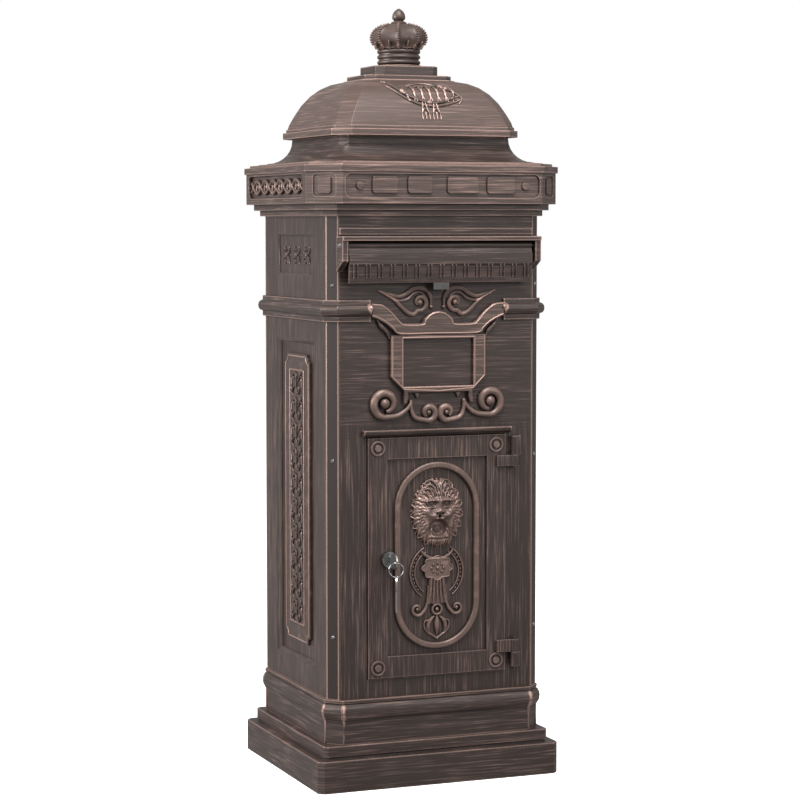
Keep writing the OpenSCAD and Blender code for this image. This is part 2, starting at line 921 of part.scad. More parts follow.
module facet_bosses() {
    mid = (panel_z0 + panel_z1) / 2;
    color(copper) for (quarter = [0 : 3]) on_facet(quarter)
        relief(1.5, -0.5) translate([0, mid]) soft_rect(9, 10.5, 3);
}

roof_top = 850.7;
roof_wall = 4;
cavetto_r = 31;

module roof() {
    rows = concat([[171.5, slab_z1, 33]], [[171.5, 815, 33]], [[161, 815.2, 30]],
                  [[161, 816.5, 30]], [[152.5, 816.7, 28]], [[150.7, 818, 28]],
                  [for (i = [1 : 7]) let (a = 90 * i / 7)
                      [150.7 - cavetto_r * sin(a), 849 - cavetto_r * cos(a), 28 - 19 * sin(a)]],
                  [[119.7, roof_top, 9]]);
    inner = concat([[146, slab_z1 - 1, 26]], [[146, 814, 26]],
                   [for (i = [1 : 4]) let (a = 90 * i / 4)
                       [146 - cavetto_r * sin(a), 846 - cavetto_r * cos(a), 26 - 17 * sin(a)]],
                   [[115, roof_top + 1, 9]]);
    color(bronze) difference() {
        moulded(rows, 17);
        moulded(inner, 17);
    }
}

dome_step = 15;
dome_facet = 16;
dome_top = 926;
rim_half = 132.2;

// Rows of the dome's outer skin, pulled in by a thickness
function dome_rows(inset) = [
    [126.5 - inset, 862, dome_facet], [124.5 - inset, 870 - inset / 4, dome_facet],
    [119 - inset, 882 - inset / 3, dome_facet], [111.5 - inset, 896 - inset / 2, dome_facet],
    [102 - inset, 908.5 - inset / 1.6, dome_facet], [91.5 - inset, 917.5 - inset / 1.2, dome_facet],
    [80 - inset, 923.5 - inset, dome_facet], [69.5 - inset, dome_top - inset, dome_facet]];

module dome() {
    color(bronze) difference() {
        union() {
            block(roof_top, 859.5, rim_half, rim_half - 14.7, 21);
            block(859.5, 864, 128, 128 - dome_step, 18);
            moulded(dome_rows(0), dome_step);
        }
        moulded(concat([[122, roof_top - 1, dome_facet]], dome_rows(4)), dome_step);
        translate([0, 0, dome_top - 10]) cylinder(r = rod_hole_r, h = 12);
    }
}

// Garland on the front slope of the dome; it follows the slope
module dome_garland() {
    lift = 3;
    color(copper) difference() {
        intersection() {
            moulded([for (r = dome_rows(0)) [r[0] + lift, r[1] + lift * 0.6, r[2]]], dome_step);
            relief(0, -200) {
                polygon([[-54, 920], [-46, 924], [-25, 914], [0, 897], [30, 884], [53, 882],
                         [54, 892], [30, 895], [8, 906], [-18, 922], [-40, 927], [-54, 925]]);
                for (x = [-10, 8]) translate([x, 880]) circle(r = 8);
                polygon([[-10, 873], [8, 873], [10, 884], [2, 900], [-12, 884]]);
                polygon([[-40, 918], [-50, 900], [-44, 880], [-34, 880], [-40, 898], [-32, 914]]);
                polygon([[40, 888], [48, 876], [40, 872], [28, 876], [34, 890]]);
            }
        }
        moulded(concat([[132, 850, dome_facet]], [[128, 864, dome_facet]], dome_rows(0)), dome_step);
        block(840, 864.5, 150, 140, 21);
        block(dome_top - 0.2, dome_top + 10, 150, 140, 21);
    }
}

// ---------------------------------------------------------------- finial

module finial_base() {
    color(bronze) difference() {
        union() {
            block(dome_top, 927.5, 66, 51, 14);
            block(927.5, 933.5, 62, 45.5, 12);
            block(933.5, 946.5, 44.7, 38, 10);
            translate([0, 0, 946.5]) cylinder(r = 31, h = 2);
        }
        translate([0, 0, dome_top - 1]) cylinder(r = rod_hole_r, h = 30);
    }
}

ring_z0 = 948.5;
ring_z1 = 971;

module crown_ring() {
    color(bronze) translate([0, 0, ring_z0]) difference() {
        rotate_extrude() {
            square([27, ring_z1 - ring_z0]);
            for (z = [4, 11.2, 18.5]) translate([26, z]) circle(r = 3.2);
        }
        translate([0, 0, -1]) cylinder(r = rod_hole_r, h = 30);
    }
}

module crown() {
    color(copper) rotate_extrude()
        polygon(concat([[rod_hole_r, ring_z1]], [[29, ring_z1]],
                       [for (i = [0 : 10]) let (a = -35 + 125 * i / 10)
                           [12 + 26 * cos(a), 985.5 + 19 * sin(a)]],
                       [[rod_hole_r, 1004.5]]));
}

module finial_knob() {
    color(copper) difference() {
        union() {
            translate([0, 0, 1004.5]) cylinder(r = 10, h = 4);
            translate([0, 0, total_h - 9]) sphere(r = 9);
        }
        translate([0, 0, 1000]) cylinder(r = 4.1, h = 15);
    }
}

module tie_rod() {
    color(steel) {
        translate([0, 0, 796]) cylinder(r = 4, h = 215);
        translate([0, 0, 800]) cylinder(r = 9, h = 6.4, $fn = 6);
    }
}

plinth();
pedestal();
floor_tray();
front_panel();
left_panel();
right_panel();
back_panel();
front_left_post();
front_right_post();
back_left_post();
back_right_post();
corner_angles();
post_screws();
head_rail();
hood();
flap_pins();
flap();
lift_tab();
letter_chute();
belt_moulding();
cartouche();
name_frame();
name_card();
upper_scrolls();
lower_scrolls();
door_head();
panel_lugs();
hinge_pins();
door();
door_lugs();
door_bead();
door_roundels();
lion_mask();
door_pendant();
lock_body();
lock_nut();
lock_plug();
lock_cam();
cam_screw();
key();
key_ring();
spare_key();
left_plaque();
right_plaque();
left_motifs();
right_motifs();
cornice();
frieze_blocks();
frieze_waves();
facet_bosses();
roof();
dome();
dome_garland();
finial_base();
crown_ring();
crown();
finial_knob();
tie_rod();
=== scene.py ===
"""Looks of a free-standing pillar letterbox in antique copper paint, built round its CAD frame."""

import json
import logging
import math
from dataclasses import dataclass
from enum import Enum
from functools import cache
from typing import Callable, Sequence

import bmesh
import bpy
from mathutils import Matrix, Vector
from mathutils.bvhtree import BVHTree

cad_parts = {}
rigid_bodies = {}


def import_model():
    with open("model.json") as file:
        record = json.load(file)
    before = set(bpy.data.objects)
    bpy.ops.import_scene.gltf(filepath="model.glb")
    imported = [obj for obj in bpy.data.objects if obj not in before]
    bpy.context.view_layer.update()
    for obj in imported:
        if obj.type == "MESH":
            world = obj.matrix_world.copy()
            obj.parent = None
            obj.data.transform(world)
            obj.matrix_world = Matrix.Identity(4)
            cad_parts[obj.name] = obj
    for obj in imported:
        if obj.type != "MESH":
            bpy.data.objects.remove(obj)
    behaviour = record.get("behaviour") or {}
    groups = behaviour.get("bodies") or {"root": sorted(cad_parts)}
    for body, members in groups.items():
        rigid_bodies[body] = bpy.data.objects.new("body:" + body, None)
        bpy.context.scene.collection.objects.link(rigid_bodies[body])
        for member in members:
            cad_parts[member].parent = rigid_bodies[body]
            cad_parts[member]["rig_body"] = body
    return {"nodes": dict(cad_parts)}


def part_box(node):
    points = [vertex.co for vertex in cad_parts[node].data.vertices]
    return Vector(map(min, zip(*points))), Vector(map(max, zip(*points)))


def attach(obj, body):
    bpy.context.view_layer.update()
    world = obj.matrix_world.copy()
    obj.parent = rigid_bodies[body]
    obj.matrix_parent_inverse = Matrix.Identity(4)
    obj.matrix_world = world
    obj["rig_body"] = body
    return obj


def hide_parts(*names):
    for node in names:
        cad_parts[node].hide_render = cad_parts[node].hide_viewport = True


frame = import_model()

LOG = logging.getLogger("letterbox")
MM = 0.001
WELD = 0.002  # millimetres within which two points are one
UP = Vector((0.0, 0.0, 1.0))
Colour = tuple[float, float, float, float]
Flat = tuple[float, float]


# ---------------------------------------------------------------- finishes


class Wire:
    """An output socket that takes part in arithmetic; each operator adds a Math node."""

    def __init__(self, bench: "Bench", socket: bpy.types.NodeSocket) -> None:
        """Keeps the socket and the bench that its nodes are made on."""
        self.bench = bench
        self.socket = socket

    def _math(self, operation: str, first: "Wire | float", second: "Wire | float") -> "Wire":
        """Adds one Math node and returns its result."""
        return self.bench.node("ShaderNodeMath", {"operation": operation}, {0: first, 1: second})

    def __add__(self, other: "Wire | float") -> "Wire":
        """Sum."""
        return self._math("ADD", self, other)

    def __radd__(self, other: float) -> "Wire":
        """Sum with a number on the left."""
        return self._math("ADD", other, self)

    def __sub__(self, other: "Wire | float") -> "Wire":
        """Difference."""
        return self._math("SUBTRACT", self, other)

    def __rsub__(self, other: float) -> "Wire":
        """Difference with a number on the left."""
        return self._math("SUBTRACT", other, self)

    def __mul__(self, other: "Wire | float") -> "Wire":
        """Product."""
        return self._math("MULTIPLY", self, other)

    def __rmul__(self, other: float) -> "Wire":
        """Product with a number on the left."""
        return self._math("MULTIPLY", other, self)

    def between(self, low: float, high: float) -> "Wire":
        """Rises smoothly from 0 to 1 as the value goes from low to high.

        Args:
            low: Value at which the result leaves 0.
            high: Value at which the result reaches 1.

        Returns:
            The eased value, held within 0 and 1.
        """
        return self.bench.node(
            "ShaderNodeMapRange",
            {"interpolation_type": "SMOOTHSTEP"},
            {0: self, 1: low, 2: high, 3: 0.0, 4: 1.0},
        )


class Bench:
    """A new material and the means to add nodes to it."""

    def __init__(self, name: str) -> None:
        """Starts a material with a Principled shader.

        Args:
            name: Name of the material.
        """
        self.material = bpy.data.materials.new(name)
        self.material.use_nodes = True
        self.tree = self.material.node_tree
        self.shader = self.tree.nodes["Principled BSDF"]

    def _feed(self, socket: bpy.types.NodeSocket, value: object) -> None:
        """Links a wire to a socket, or sets a plain value on it."""
        if isinstance(value, Wire):
            self.tree.links.new(value.socket, socket)
        else:
            socket.default_value = value

    def node(self, kind: str, settings: dict | None = None, values: dict | None = None,
             output: int = 0) -> Wire:
        """Adds one node.

        Args:
            kind: Node type.
            settings: Properties, which are set first.
            values: Values or wires by the name or number of the input.
            output: Number of the output that is returned.

        Returns:
            The chosen output.
        """
        made = self.tree.nodes.new(kind)
        for key, value in (settings or {}).items():
            setattr(made, key, value)
        for key, value in (values or {}).items():
            self._feed(made.inputs[key], value)
        return Wire(self, made.outputs[output])

    def place(self) -> Wire:
        """Object coordinates, in metres."""
        return self.node("ShaderNodeTexCoord", output=3)

    def noise(self, place: Wire, scale: Sequence[float], detail: float = 3.0) -> Wire:
        """Noise whose grain has its own size along each axis.

        Args:
            place: Coordinates in metres.
            scale: Grains per metre along X, Y and Z.
            detail: Number of finer layers.

        Returns:
            Noise from 0 to 1 about a mean of 0.5.
        """
        stretched = self.node("ShaderNodeVectorMath", {"operation": "MULTIPLY"},
                              {0: place, 1: tuple(scale)})
        return self.node("ShaderNodeTexNoise", None,
                         {"Vector": stretched, "Scale": 1.0, "Detail": detail, "Roughness": 0.6})

    def nearness(self, distance: float, inside: bool) -> Wire:
        """How much of the surroundings within a distance is solid.

        Args:
            distance: Reach in metres.
            inside: True finds outer edges from within, False finds hollows from outside.

        Returns:
            0 on an open flat and more towards an edge or a hollow.
        """
        settings = {"inside": inside, "only_local": inside, "samples": 6}
        return 1.0 - self.node("ShaderNodeAmbientOcclusion", settings, {"Distance": distance}, 1)

    def blend(self, share: Wire, first: object, second: object) -> Wire:
        """Mixes two colours by a share."""
        return self.node("ShaderNodeMix", {"data_type": "RGBA"}, {0: share, 6: first, 7: second}, 2)

    def bump(self, height: Wire, strength: float, distance: float) -> Wire:
        """Normal of a surface that is raised by a height."""
        return self.node("ShaderNodeBump", None,
                         {"Strength": strength, "Distance": distance, "Height": height})

    def surface(self, values: dict) -> bpy.types.Material:
        """Feeds the shader's inputs by name and returns the finished material."""
        for key, value in values.items():
            self._feed(self.shader.inputs[key], value)
        return self.material


class Grain(Enum):
    """Way that the brush went over the paint, as marks per metre along X, Y and Z."""

    UPRIGHT = (600.0, 600.0, 17.0)
    LEVEL = (17.0, 17.0, 600.0)
    NONE = (90.0, 90.0, 90.0)


@dataclass(frozen=True)
class AntiqueCopper:
    """Near-black brown paint with copper rubbed over edges, raised work and brush marks.

    Attributes:
        name: Name of the material.
        grain: Way that the brush went.
        rub: Copper that the brush marks add.
        edge: Copper that worn edges add.
        hollow: How far hollows stay dark: the rub leaves dark paint there, deepened by painted
            shade from ambient occlusion, which also darkens joins between parts.
        wear: Reach of the worn edges, in metres.
        base: Copper all over.
        level_from: Height in metres above which the brush went level; nowhere if left out.
        dark: Colour of the paint.
        copper: Colour of the copper.
    """

    name: str
    grain: Grain
    rub: float
    edge: float = 0.85
    hollow: float = 0.85
    wear: float = 0.0017
    base: float = 0.10
    level_from: float | None = None
    dark: Colour = (0.0215, 0.0140, 0.0115, 1.0)
    copper: Colour = (0.400, 0.262, 0.222, 1.0)

    def brushed(self, bench: Bench, place: Wire) -> Wire:
        """Brush marks, which lie level above a height and the grain's own way below it.

        Args:
            bench: Bench of the material.
            place: Coordinates in metres.

        Returns:
            The marks, from 0 to 1.
        """
        own = bench.noise(place, self.grain.value, 4.0)
        if self.level_from is None:
            return own
        level = bench.noise(place, Grain.LEVEL.value, 4.0)
        height = bench.node("ShaderNodeSeparateXYZ", None, {0: place}, 2)
        above = height.between(self.level_from - 0.02, self.level_from + 0.02)
        return own * (1.0 - above) + level * above

    def material(self) -> bpy.types.Material:
        """Builds the paint: streaks and worn edges add copper, and hollows stay dark, deepened by
        painted shade from ambient occlusion in hollows and where parts meet.

        Returns:
            The material.
        """
        bench = Bench(self.name)
        place = bench.place()
        streaks = self.brushed(bench, place)
        cloud = bench.noise(place, (14.0, 14.0, 14.0), 2.0).between(0.34, 0.68)
        speckle = bench.noise(place, (900.0, 900.0, 900.0), 2.0)
        worn = bench.nearness(self.wear, True).between(0.16, 0.56)
        # Painted shade: ambient occlusion from outside, other parts and the floor included, darkens
        # hollows, creases and joins.
        hollow_shade = bench.nearness(0.008, False).between(0.22, 0.80)
        marks = streaks.between(0.44, 0.76) * (cloud * 0.65 + 0.40)
        amount = marks * self.rub + worn * self.edge * (speckle * 0.6 + 0.6) + self.base
        shown = (amount * (1.0 - hollow_shade * self.hollow)).between(0.0, 1.15)
        colour = bench.blend(shown, self.dark, self.copper)
        height = streaks * 0.6 + speckle * 0.25
        return bench.surface({
            "Base Color": colour,
            "Metallic": shown * 0.40 + 0.15,
            "Roughness": 0.38 - shown * 0.04 + speckle * 0.10,
            "Normal": bench.bump(height, 0.25, 0.0006),
        })


@dataclass(frozen=True)
class Metal:
    """Bare metal with fine scratches and a little tarnish."""

    name: str
    colour: Colour
    roughness: float
    grain: Grain = Grain.NONE

    def material(self) -> bpy.types.Material:
        """Builds the metal: scratches roughen it, and tarnish darkens it in patches.

        Returns:
            The material.
        """
        bench = Bench(self.name)
        place = bench.place()
        scratches = bench.noise(place, [s * 3.0 for s in self.grain.value], 3.0)
        tarnish = bench.noise(place, (150.0, 150.0, 150.0), 3.0).between(0.50, 0.78)
        dull = tuple(c * 0.55 for c in self.colour[:3]) + (1.0,)
        return bench.surface({
            "Base Color": bench.blend(tarnish * 0.5, self.colour, dull),
            "Metallic": 1.0,
            "Roughness": scratches * 0.16 + tarnish * 0.10 + self.roughness,
            "Normal": bench.bump(scratches, 0.08, 0.0002),
        })


UPRIGHT_PAINT = AntiqueCopper("antique_copper_upright", Grain.UPRIGHT, rub=0.44, edge=1.3,
                              wear=0.0026, base=0.14)
FRONT_PAINT = AntiqueCopper("antique_copper_front", Grain.UPRIGHT, rub=0.44, base=0.12,
                            level_from=0.47)
LEVEL_PAINT = AntiqueCopper("antique_copper_level", Grain.LEVEL, rub=0.48, edge=1.5, wear=0.0028,
                            base=0.14)
RELIEF_PAINT = AntiqueCopper("antique_copper_relief", Grain.NONE, rub=0.32, edge=0.55, hollow=0.95,
                             wear=0.0012, base=0.42)
BLOCK_PAINT = AntiqueCopper("antique_copper_block", Grain.LEVEL, rub=0.55, edge=0.85, hollow=0.90,
                            wear=0.0011, base=0.26)
CROWN_PAINT = AntiqueCopper("antique_copper_crown", Grain.NONE, rub=0.26, edge=0.90, hollow=0.98,
                            wear=0.0014, base=0.22)
SIDE_RELIEF_PAINT = AntiqueCopper("antique_copper_side_relief", Grain.NONE, rub=0.26, edge=0.70,
                                  hollow=0.98, wear=0.0012, base=0.21)
# A lighter copy of the level paint: painted sheen for the light that the dome's upward slopes
# catch.
DOME_SHEEN_PAINT = AntiqueCopper("antique_copper_dome_sheen", Grain.LEVEL, rub=0.42, edge=1.9, wear=0.0028,
                           base=0.27)
CORNICE_PAINT = AntiqueCopper("antique_copper_cornice", Grain.LEVEL, rub=0.60, edge=0.90,
                              wear=0.0022, base=0.21)
SCROLL_PAINT = AntiqueCopper("antique_copper_scroll", Grain.NONE, rub=0.30, edge=0.10, hollow=0.95,
                             wear=0.0012, base=0.44)
PENDANT_PAINT = AntiqueCopper("antique_copper_pendant", Grain.NONE, rub=0.30, edge=0.25,
                              hollow=0.98, wear=0.0011, base=0.46)
# A darker copy: painted shade on the corner posts' angled facets.
POST_SHADE_PAINT = AntiqueCopper("antique_copper_post_shade", Grain.UPRIGHT, rub=0.10, edge=2.2, wear=0.0024,
                           base=0.0)
FIELD_PAINT = AntiqueCopper("antique_copper_field", Grain.LEVEL, rub=0.34, edge=0.0, base=0.13)
DOOR_PAINT = AntiqueCopper("antique_copper_door", Grain.UPRIGHT, rub=0.54, base=0.15)
FLAP_PAINT = AntiqueCopper("antique_copper_flap", Grain.LEVEL, rub=0.42, edge=1.90, hollow=0.60,
                           wear=0.0010, base=0.13)
CHROME = Metal("chrome_plate", (0.36, 0.37, 0.37, 1.0), 0.14)
ZINC_STEEL = Metal("zinc_plated_steel", (0.52, 0.53, 0.53, 1.0), 0.36, Grain.UPRIGHT)
DARK_NICKEL = Metal("dark_nickel_plate", (0.11, 0.105, 0.10, 1.0), 0.30)
KEY_STEEL = Metal("nickel_key_steel", (0.40, 0.39, 0.37, 1.0), 0.24)


@cache
def dressed(finish: AntiqueCopper | Metal) -> bpy.types.Material:
    """The material of a finish, made once."""
    return finish.material()


# ---------------------------------------------------------------- shapes


@dataclass(frozen=True)
class Room:
    """The space of a CAD node, in millimetres."""

    low: Vector
    high: Vector

    @classmethod
    def of(cls, node: str) -> "Room":
        """Reads a node's space from the frame."""
        low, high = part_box(node)
        return cls(low / MM, high / MM)

    @property
    def mid(self) -> Vector:
        """Centre of the space."""
        return (self.low + self.high) / 2


class Facing(Enum):
    """Side of the case that an ornament stands on, as the way it faces."""

    FRONT = (0.0, -1.0, 0.0)
    LEFT = (-1.0, 0.0, 0.0)
    RIGHT = (1.0, 0.0, 0.0)


def ground(out: Sequence[float], origin: Vector) -> Matrix:
    """Matrix that lays work drawn flat, with Z as its relief, against an upright face.

    Args:
        out: The way the face looks.
        origin: Point where the drawing's origin lands, in millimetres.

    Returns:
        The placing matrix.
    """
    facing = Vector(out).normalized()
    right = UP.cross(facing)
    placed = Matrix((right, UP, facing)).transposed().to_4x4()
    placed.translation = origin
    return placed


def curve(points: Sequence[Sequence[float]], steps: int = 5) -> list[Vector]:
    """Smooth line through points.

    Args:
        points: Two or three coordinates each.
        steps: Pieces between two points.

    Returns:
        Points along the line, the given ones among them.
    """
    knots = [Vector((*p, 0.0)[:3]) for p in points]
    ends = [knots[0] * 2 - knots[1], *knots, knots[-1] * 2 - knots[-2]]
    line = []
    for a, b, c, d in zip(ends, ends[1:], ends[2:], ends[3:]):
        for i in range(steps):
            t = i / steps
            line.append(0.5 * (2 * b + (c - a) * t + (2 * a - 5 * b + 4 * c - d) * t * t
                               + (3 * b - a - 3 * c + d) * t ** 3))
    return [*line, knots[-1]]


def spiral(centre: Flat, radii: Flat, angles: Flat, steps: int = 26) -> list[Flat]:
    """Flat spiral line.

    Args:
        centre: Its middle.
        radii: First and last radius.
        angles: First and last angle, in degrees.
        steps: Number of pieces.

    Returns:
        Points from the first angle to the last.
    """
    line = []
    for i in range(steps + 1):
        t = i / steps
        turn = math.radians(angles[0] + (angles[1] - angles[0]) * t)
        radius = radii[0] + (radii[1] - radii[0]) * t
        line.append((centre[0] + radius * math.cos(turn), centre[1] + radius * math.sin(turn)))
    return line


def circle(centre: Flat, radius: float, steps: int) -> list[Flat]:
    """Closed round line that ends where it starts."""
    return spiral(centre, (radius, radius), (0.0, 360.0), steps)


def raised(line: Sequence[Sequence[float]], height: float) -> list[Vector]:
    """The same line at a height above its ground."""
    return [Vector((p[0], p[1], height)) for p in line]


def mirrored(line: Sequence[Sequence[float]]) -> list[Vector]:
    """The same line on the other side of the upright middle."""
    return [Vector((-p[0], p[1], p[2] if len(p) > 2 else 0.0)) for p in line]


class Casting:
    """One piece in the making, in millimetres."""

    def __init__(self) -> None:
        """Starts with nothing."""
        self.bm = bmesh.new()
        self.from_cad = False

    @classmethod
    def of_node(cls, *nodes: str) -> "Casting":
        """Copies CAD nodes, with their loose triangles merged into whole faces.

        Args:
            nodes: Names of the nodes.

        Returns:
            A new casting.
        """
        made = cls()
        made.from_cad = True
        for node in nodes:
            made.bm.from_mesh(frame["nodes"][node].data)
        bmesh.ops.scale(made.bm, vec=(1 / MM,) * 3, verts=made.bm.verts)
        bmesh.ops.remove_doubles(made.bm, verts=made.bm.verts, dist=WELD)
        bmesh.ops.dissolve_limit(made.bm, angle_limit=math.radians(0.6),
                                 verts=made.bm.verts, edges=made.bm.edges)
        return made

    def soften(self, width: float, segments: int = 2, angle: float = 24.0,
               keep: Callable[[Vector], bool] | None = None) -> "Casting":
        """Rounds the sharp edges as paint and casting leave them.

        Args:
            width: Distance from the edge to where the rounding starts.
            segments: Faces across the rounding.
            angle: Edges that turn by more than this many degrees are rounded.
            keep: Says from an edge's middle whether it is rounded; all are if left out.

        Returns:
            This casting.
        """
        edges = [
            e for e in self.bm.edges
            if len(e.link_faces) == 2
            and e.calc_face_angle(0.0) > math.radians(angle)
            and (keep is None or keep((e.verts[0].co + e.verts[1].co) / 2))
        ]
        bmesh.ops.bevel(self.bm, geom=edges, offset=width, offset_type="OFFSET",
                        segments=segments, profile=0.5, affect="EDGES", clamp_overlap=True,
                        material=-1)
        bmesh.ops.dissolve_degenerate(self.bm, dist=WELD, edges=self.bm.edges[:])
        return self

    def plate(self, outline: Sequence[Sequence[float]], low: float, high: float,
              edge: float = 0.0, segments: int = 2) -> "Casting":
        """Raises a flat outline to a height, with its front edge rounded.

        Args:
            outline: Corners in order.
            low: Height of the back.
            high: Height of the front.
            edge: Width of the rounding.
            segments: Faces across the rounding.

        Returns:
            This casting.
        """
        corners = [self.bm.verts.new((p[0], p[1], low)) for p in outline]
        face = bmesh.ops.contextual_create(self.bm, geom=corners)["faces"][0]
        grown = bmesh.ops.extrude_face_region(self.bm, geom=[face])["geom"]
        top = [g for g in grown if isinstance(g, bmesh.types.BMVert)]
        bmesh.ops.translate(self.bm, vec=(0.0, 0.0, high - low), verts=top)
        if edge:
            rim = {e for v in top for e in v.link_edges if e.other_vert(v) in top}
            bmesh.ops.bevel(self.bm, geom=list(rim), offset=edge, offset_type="OFFSET",
                            segments=segments, profile=0.5, affect="EDGES",
                            clamp_overlap=True, material=-1)
        return self

    def strand(self, path: Sequence[Vector], widths: Sequence[float], flat: float = 1.0,
               sides: int = 8) -> "Casting":
        """Sweeps an oval section along a path and closes both ends.

        Args:
            path: Points with their height in Z.
            widths: Half widths, spread evenly along the path.
            flat: Height of the section as a share of its width.
            sides: Corners of the section.

        Returns:
            This casting.
        """
        last = len(path) - 1
        ring = bmesh.ops.create_circle(self.bm, cap_ends=True, segments=sides, radius=1.0)["verts"]
        face = ring[0].link_faces[0]
        before = Matrix.Identity(4)
        for i, point in enumerate(path):
            along = (path[min(i + 1, last)] - path[max(i - 1, 0)]).normalized()
            side = along.cross(UP)
            side = side.normalized() if side.length > 1e-4 else Vector((1.0, 0.0, 0.0))
            rise = side.cross(along)
            share = i / last * (len(widths) - 1)
            first = min(int(share), len(widths) - 2)
            half = widths[first] + (widths[first + 1] - widths[first]) * (share - first)
            half = max(half, 0.06)
            here = Matrix((side * half, rise * half * flat, along)).transposed().to_4x4()
            here.translation = point
            if i:
                behind = face
                grown = bmesh.ops.extrude_face_region(self.bm, geom=[face])["geom"]
                face = next(g for g in grown if isinstance(g, bmesh.types.BMFace))
                if i > 1:  # the first one stays, as the closed end
                    bmesh.ops.delete(self.bm, geom=[behind], context="FACES_ONLY")
            bmesh.ops.transform(self.bm, matrix=here @ before.inverted(), verts=face.verts)
            before = here
        return self

    def pair(self, path: Sequence[Vector], widths: Sequence[float], flat: float = 1.0,
             sides: int = 8) -> "Casting":
        """Sweeps a strand and its mirror image."""
        self.strand(path, widths, flat, sides)
        return self.strand(mirrored(path), widths, flat, sides)

    def ball(self, centre: Sequence[float], radius: float, rise: float = 1.0,
             turns: int = 12) -> "Casting":
        """Adds a round bead.

        Args:
            centre: Its middle.
            radius: Its radius on the ground.
            rise: Its height as a share of the radius.
            turns: Faces round it.

        Returns:
            This casting.
        """
        at = Matrix.Translation(centre) @ Matrix.Diagonal((1.0, 1.0, rise, 1.0))
        bmesh.ops.create_uvsphere(self.bm, u_segments=turns, v_segments=max(6, turns // 2),
                                  radius=radius, matrix=at)
        return self

    def beads(self, path: Sequence[Vector], radius: float, count: int) -> "Casting":
        """Sets round beads at even steps along a path.

        Args:
            path: Points with their height in Z.
            radius: Radius of a bead.
            count: Number of beads.

        Returns:
            This casting.
        """
        for i in range(count):
            share = i / max(count - 1, 1) * (len(path) - 1)
            first = min(int(share), len(path) - 2)
            self.ball(path[first].lerp(path[first + 1], share - first), radius, 0.8, 8)
        return self

    def lathe(self, profile: Sequence[Flat], steps: int) -> "Casting":
        """Turns a profile about the upright axis.

        Args:
            profile: Radii and heights, from axis to axis.
            steps: Faces round the axis.

        Returns:
            This casting.
        """
        verts = [self.bm.verts.new((r, 0.0, z)) for r, z in profile]
        edges = [self.bm.edges.new(pair) for pair in zip(verts, verts[1:])]
        bmesh.ops.spin(self.bm, geom=[*verts, *edges], cent=(0.0, 0.0, 0.0), axis=(0.0, 0.0, 1.0),
                       dvec=(0.0, 0.0, 0.0), angle=math.tau, steps=steps, use_merge=True,
                       use_duplicate=False)
        bmesh.ops.remove_doubles(self.bm, verts=self.bm.verts, dist=0.01)
        return self

    def shape(self, move: Callable[[Vector], Vector]) -> "Casting":
        """Moves every vertex by a rule."""
        for vert in self.bm.verts:
            vert.co = move(vert.co)
        return self

    def lay(self, matrix: Matrix) -> "Casting":
        """Places everything made so far."""
        bmesh.ops.transform(self.bm, matrix=matrix, verts=self.bm.verts)
        return self

    def outward(self) -> "Casting":
        """Turns every face outwards."""
        bmesh.ops.recalc_face_normals(self.bm, faces=self.bm.faces)
        return self

    def stand(self, facing: Facing, origin: Vector) -> "Casting":
        """Turns the faces outwards and lays drawn work against an upright face."""
        return self.outward().lay(ground(facing.value, origin))

    def take(self, other: "Casting", matrix: Matrix | None = None) -> "Casting":
        """Adds a copy of another casting.

        Args:
            other: What is copied.
            matrix: Where the copy goes; it stays in place if left out.

        Returns:
            This casting.
        """
        mesh = bpy.data.meshes.new("copy")
        other.bm.to_mesh(mesh)
        mesh.transform(matrix or Matrix.Identity(4))
        self.bm.from_mesh(mesh)
        bpy.data.meshes.remove(mesh)
        return self

    def finish(self, name: str, finish: AntiqueCopper | Metal, slot: str, *nodes: str,
               smooth: float = 38.0) -> bpy.types.Object:
        """Makes the piece and lets it stand for its CAD nodes.

        Args:
            name: Name of the piece.
            finish: Its finish.
            slot: The record's material slot; not used.
            nodes: CAD nodes that it stands for; it rides on the first one's body.
            smooth: Edges that turn by more than this many degrees stay crisp.

        Returns:
            The finished object.
        """
        if not self.from_cad:
            self.outward()
        bmesh.ops.scale(self.bm, vec=(MM,) * 3, verts=self.bm.verts)
        mesh = bpy.data.meshes.new(name)
        self.bm.to_mesh(mesh)
        self.bm.free()
        mesh.materials.clear()
        mesh.materials.append(dressed(finish))
        mesh.polygons.foreach_set("material_index", [0] * len(mesh.polygons))
        mesh.shade_smooth()
        mesh.set_sharp_from_angle(angle=math.radians(smooth))
        piece = bpy.data.objects.new(name, mesh)
        bpy.context.scene.collection.objects.link(piece)
        weighted = piece.modifiers.new("even_normals", "WEIGHTED_NORMAL")
        weighted.keep_sharp = True
        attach(piece, frame["nodes"][nodes[0]]["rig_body"])
        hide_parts(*nodes)
        LOG.info("%s: %d faces on %s", name, len(mesh.polygons), ", ".join(nodes))
        return piece


# ---------------------------------------------------------------- case


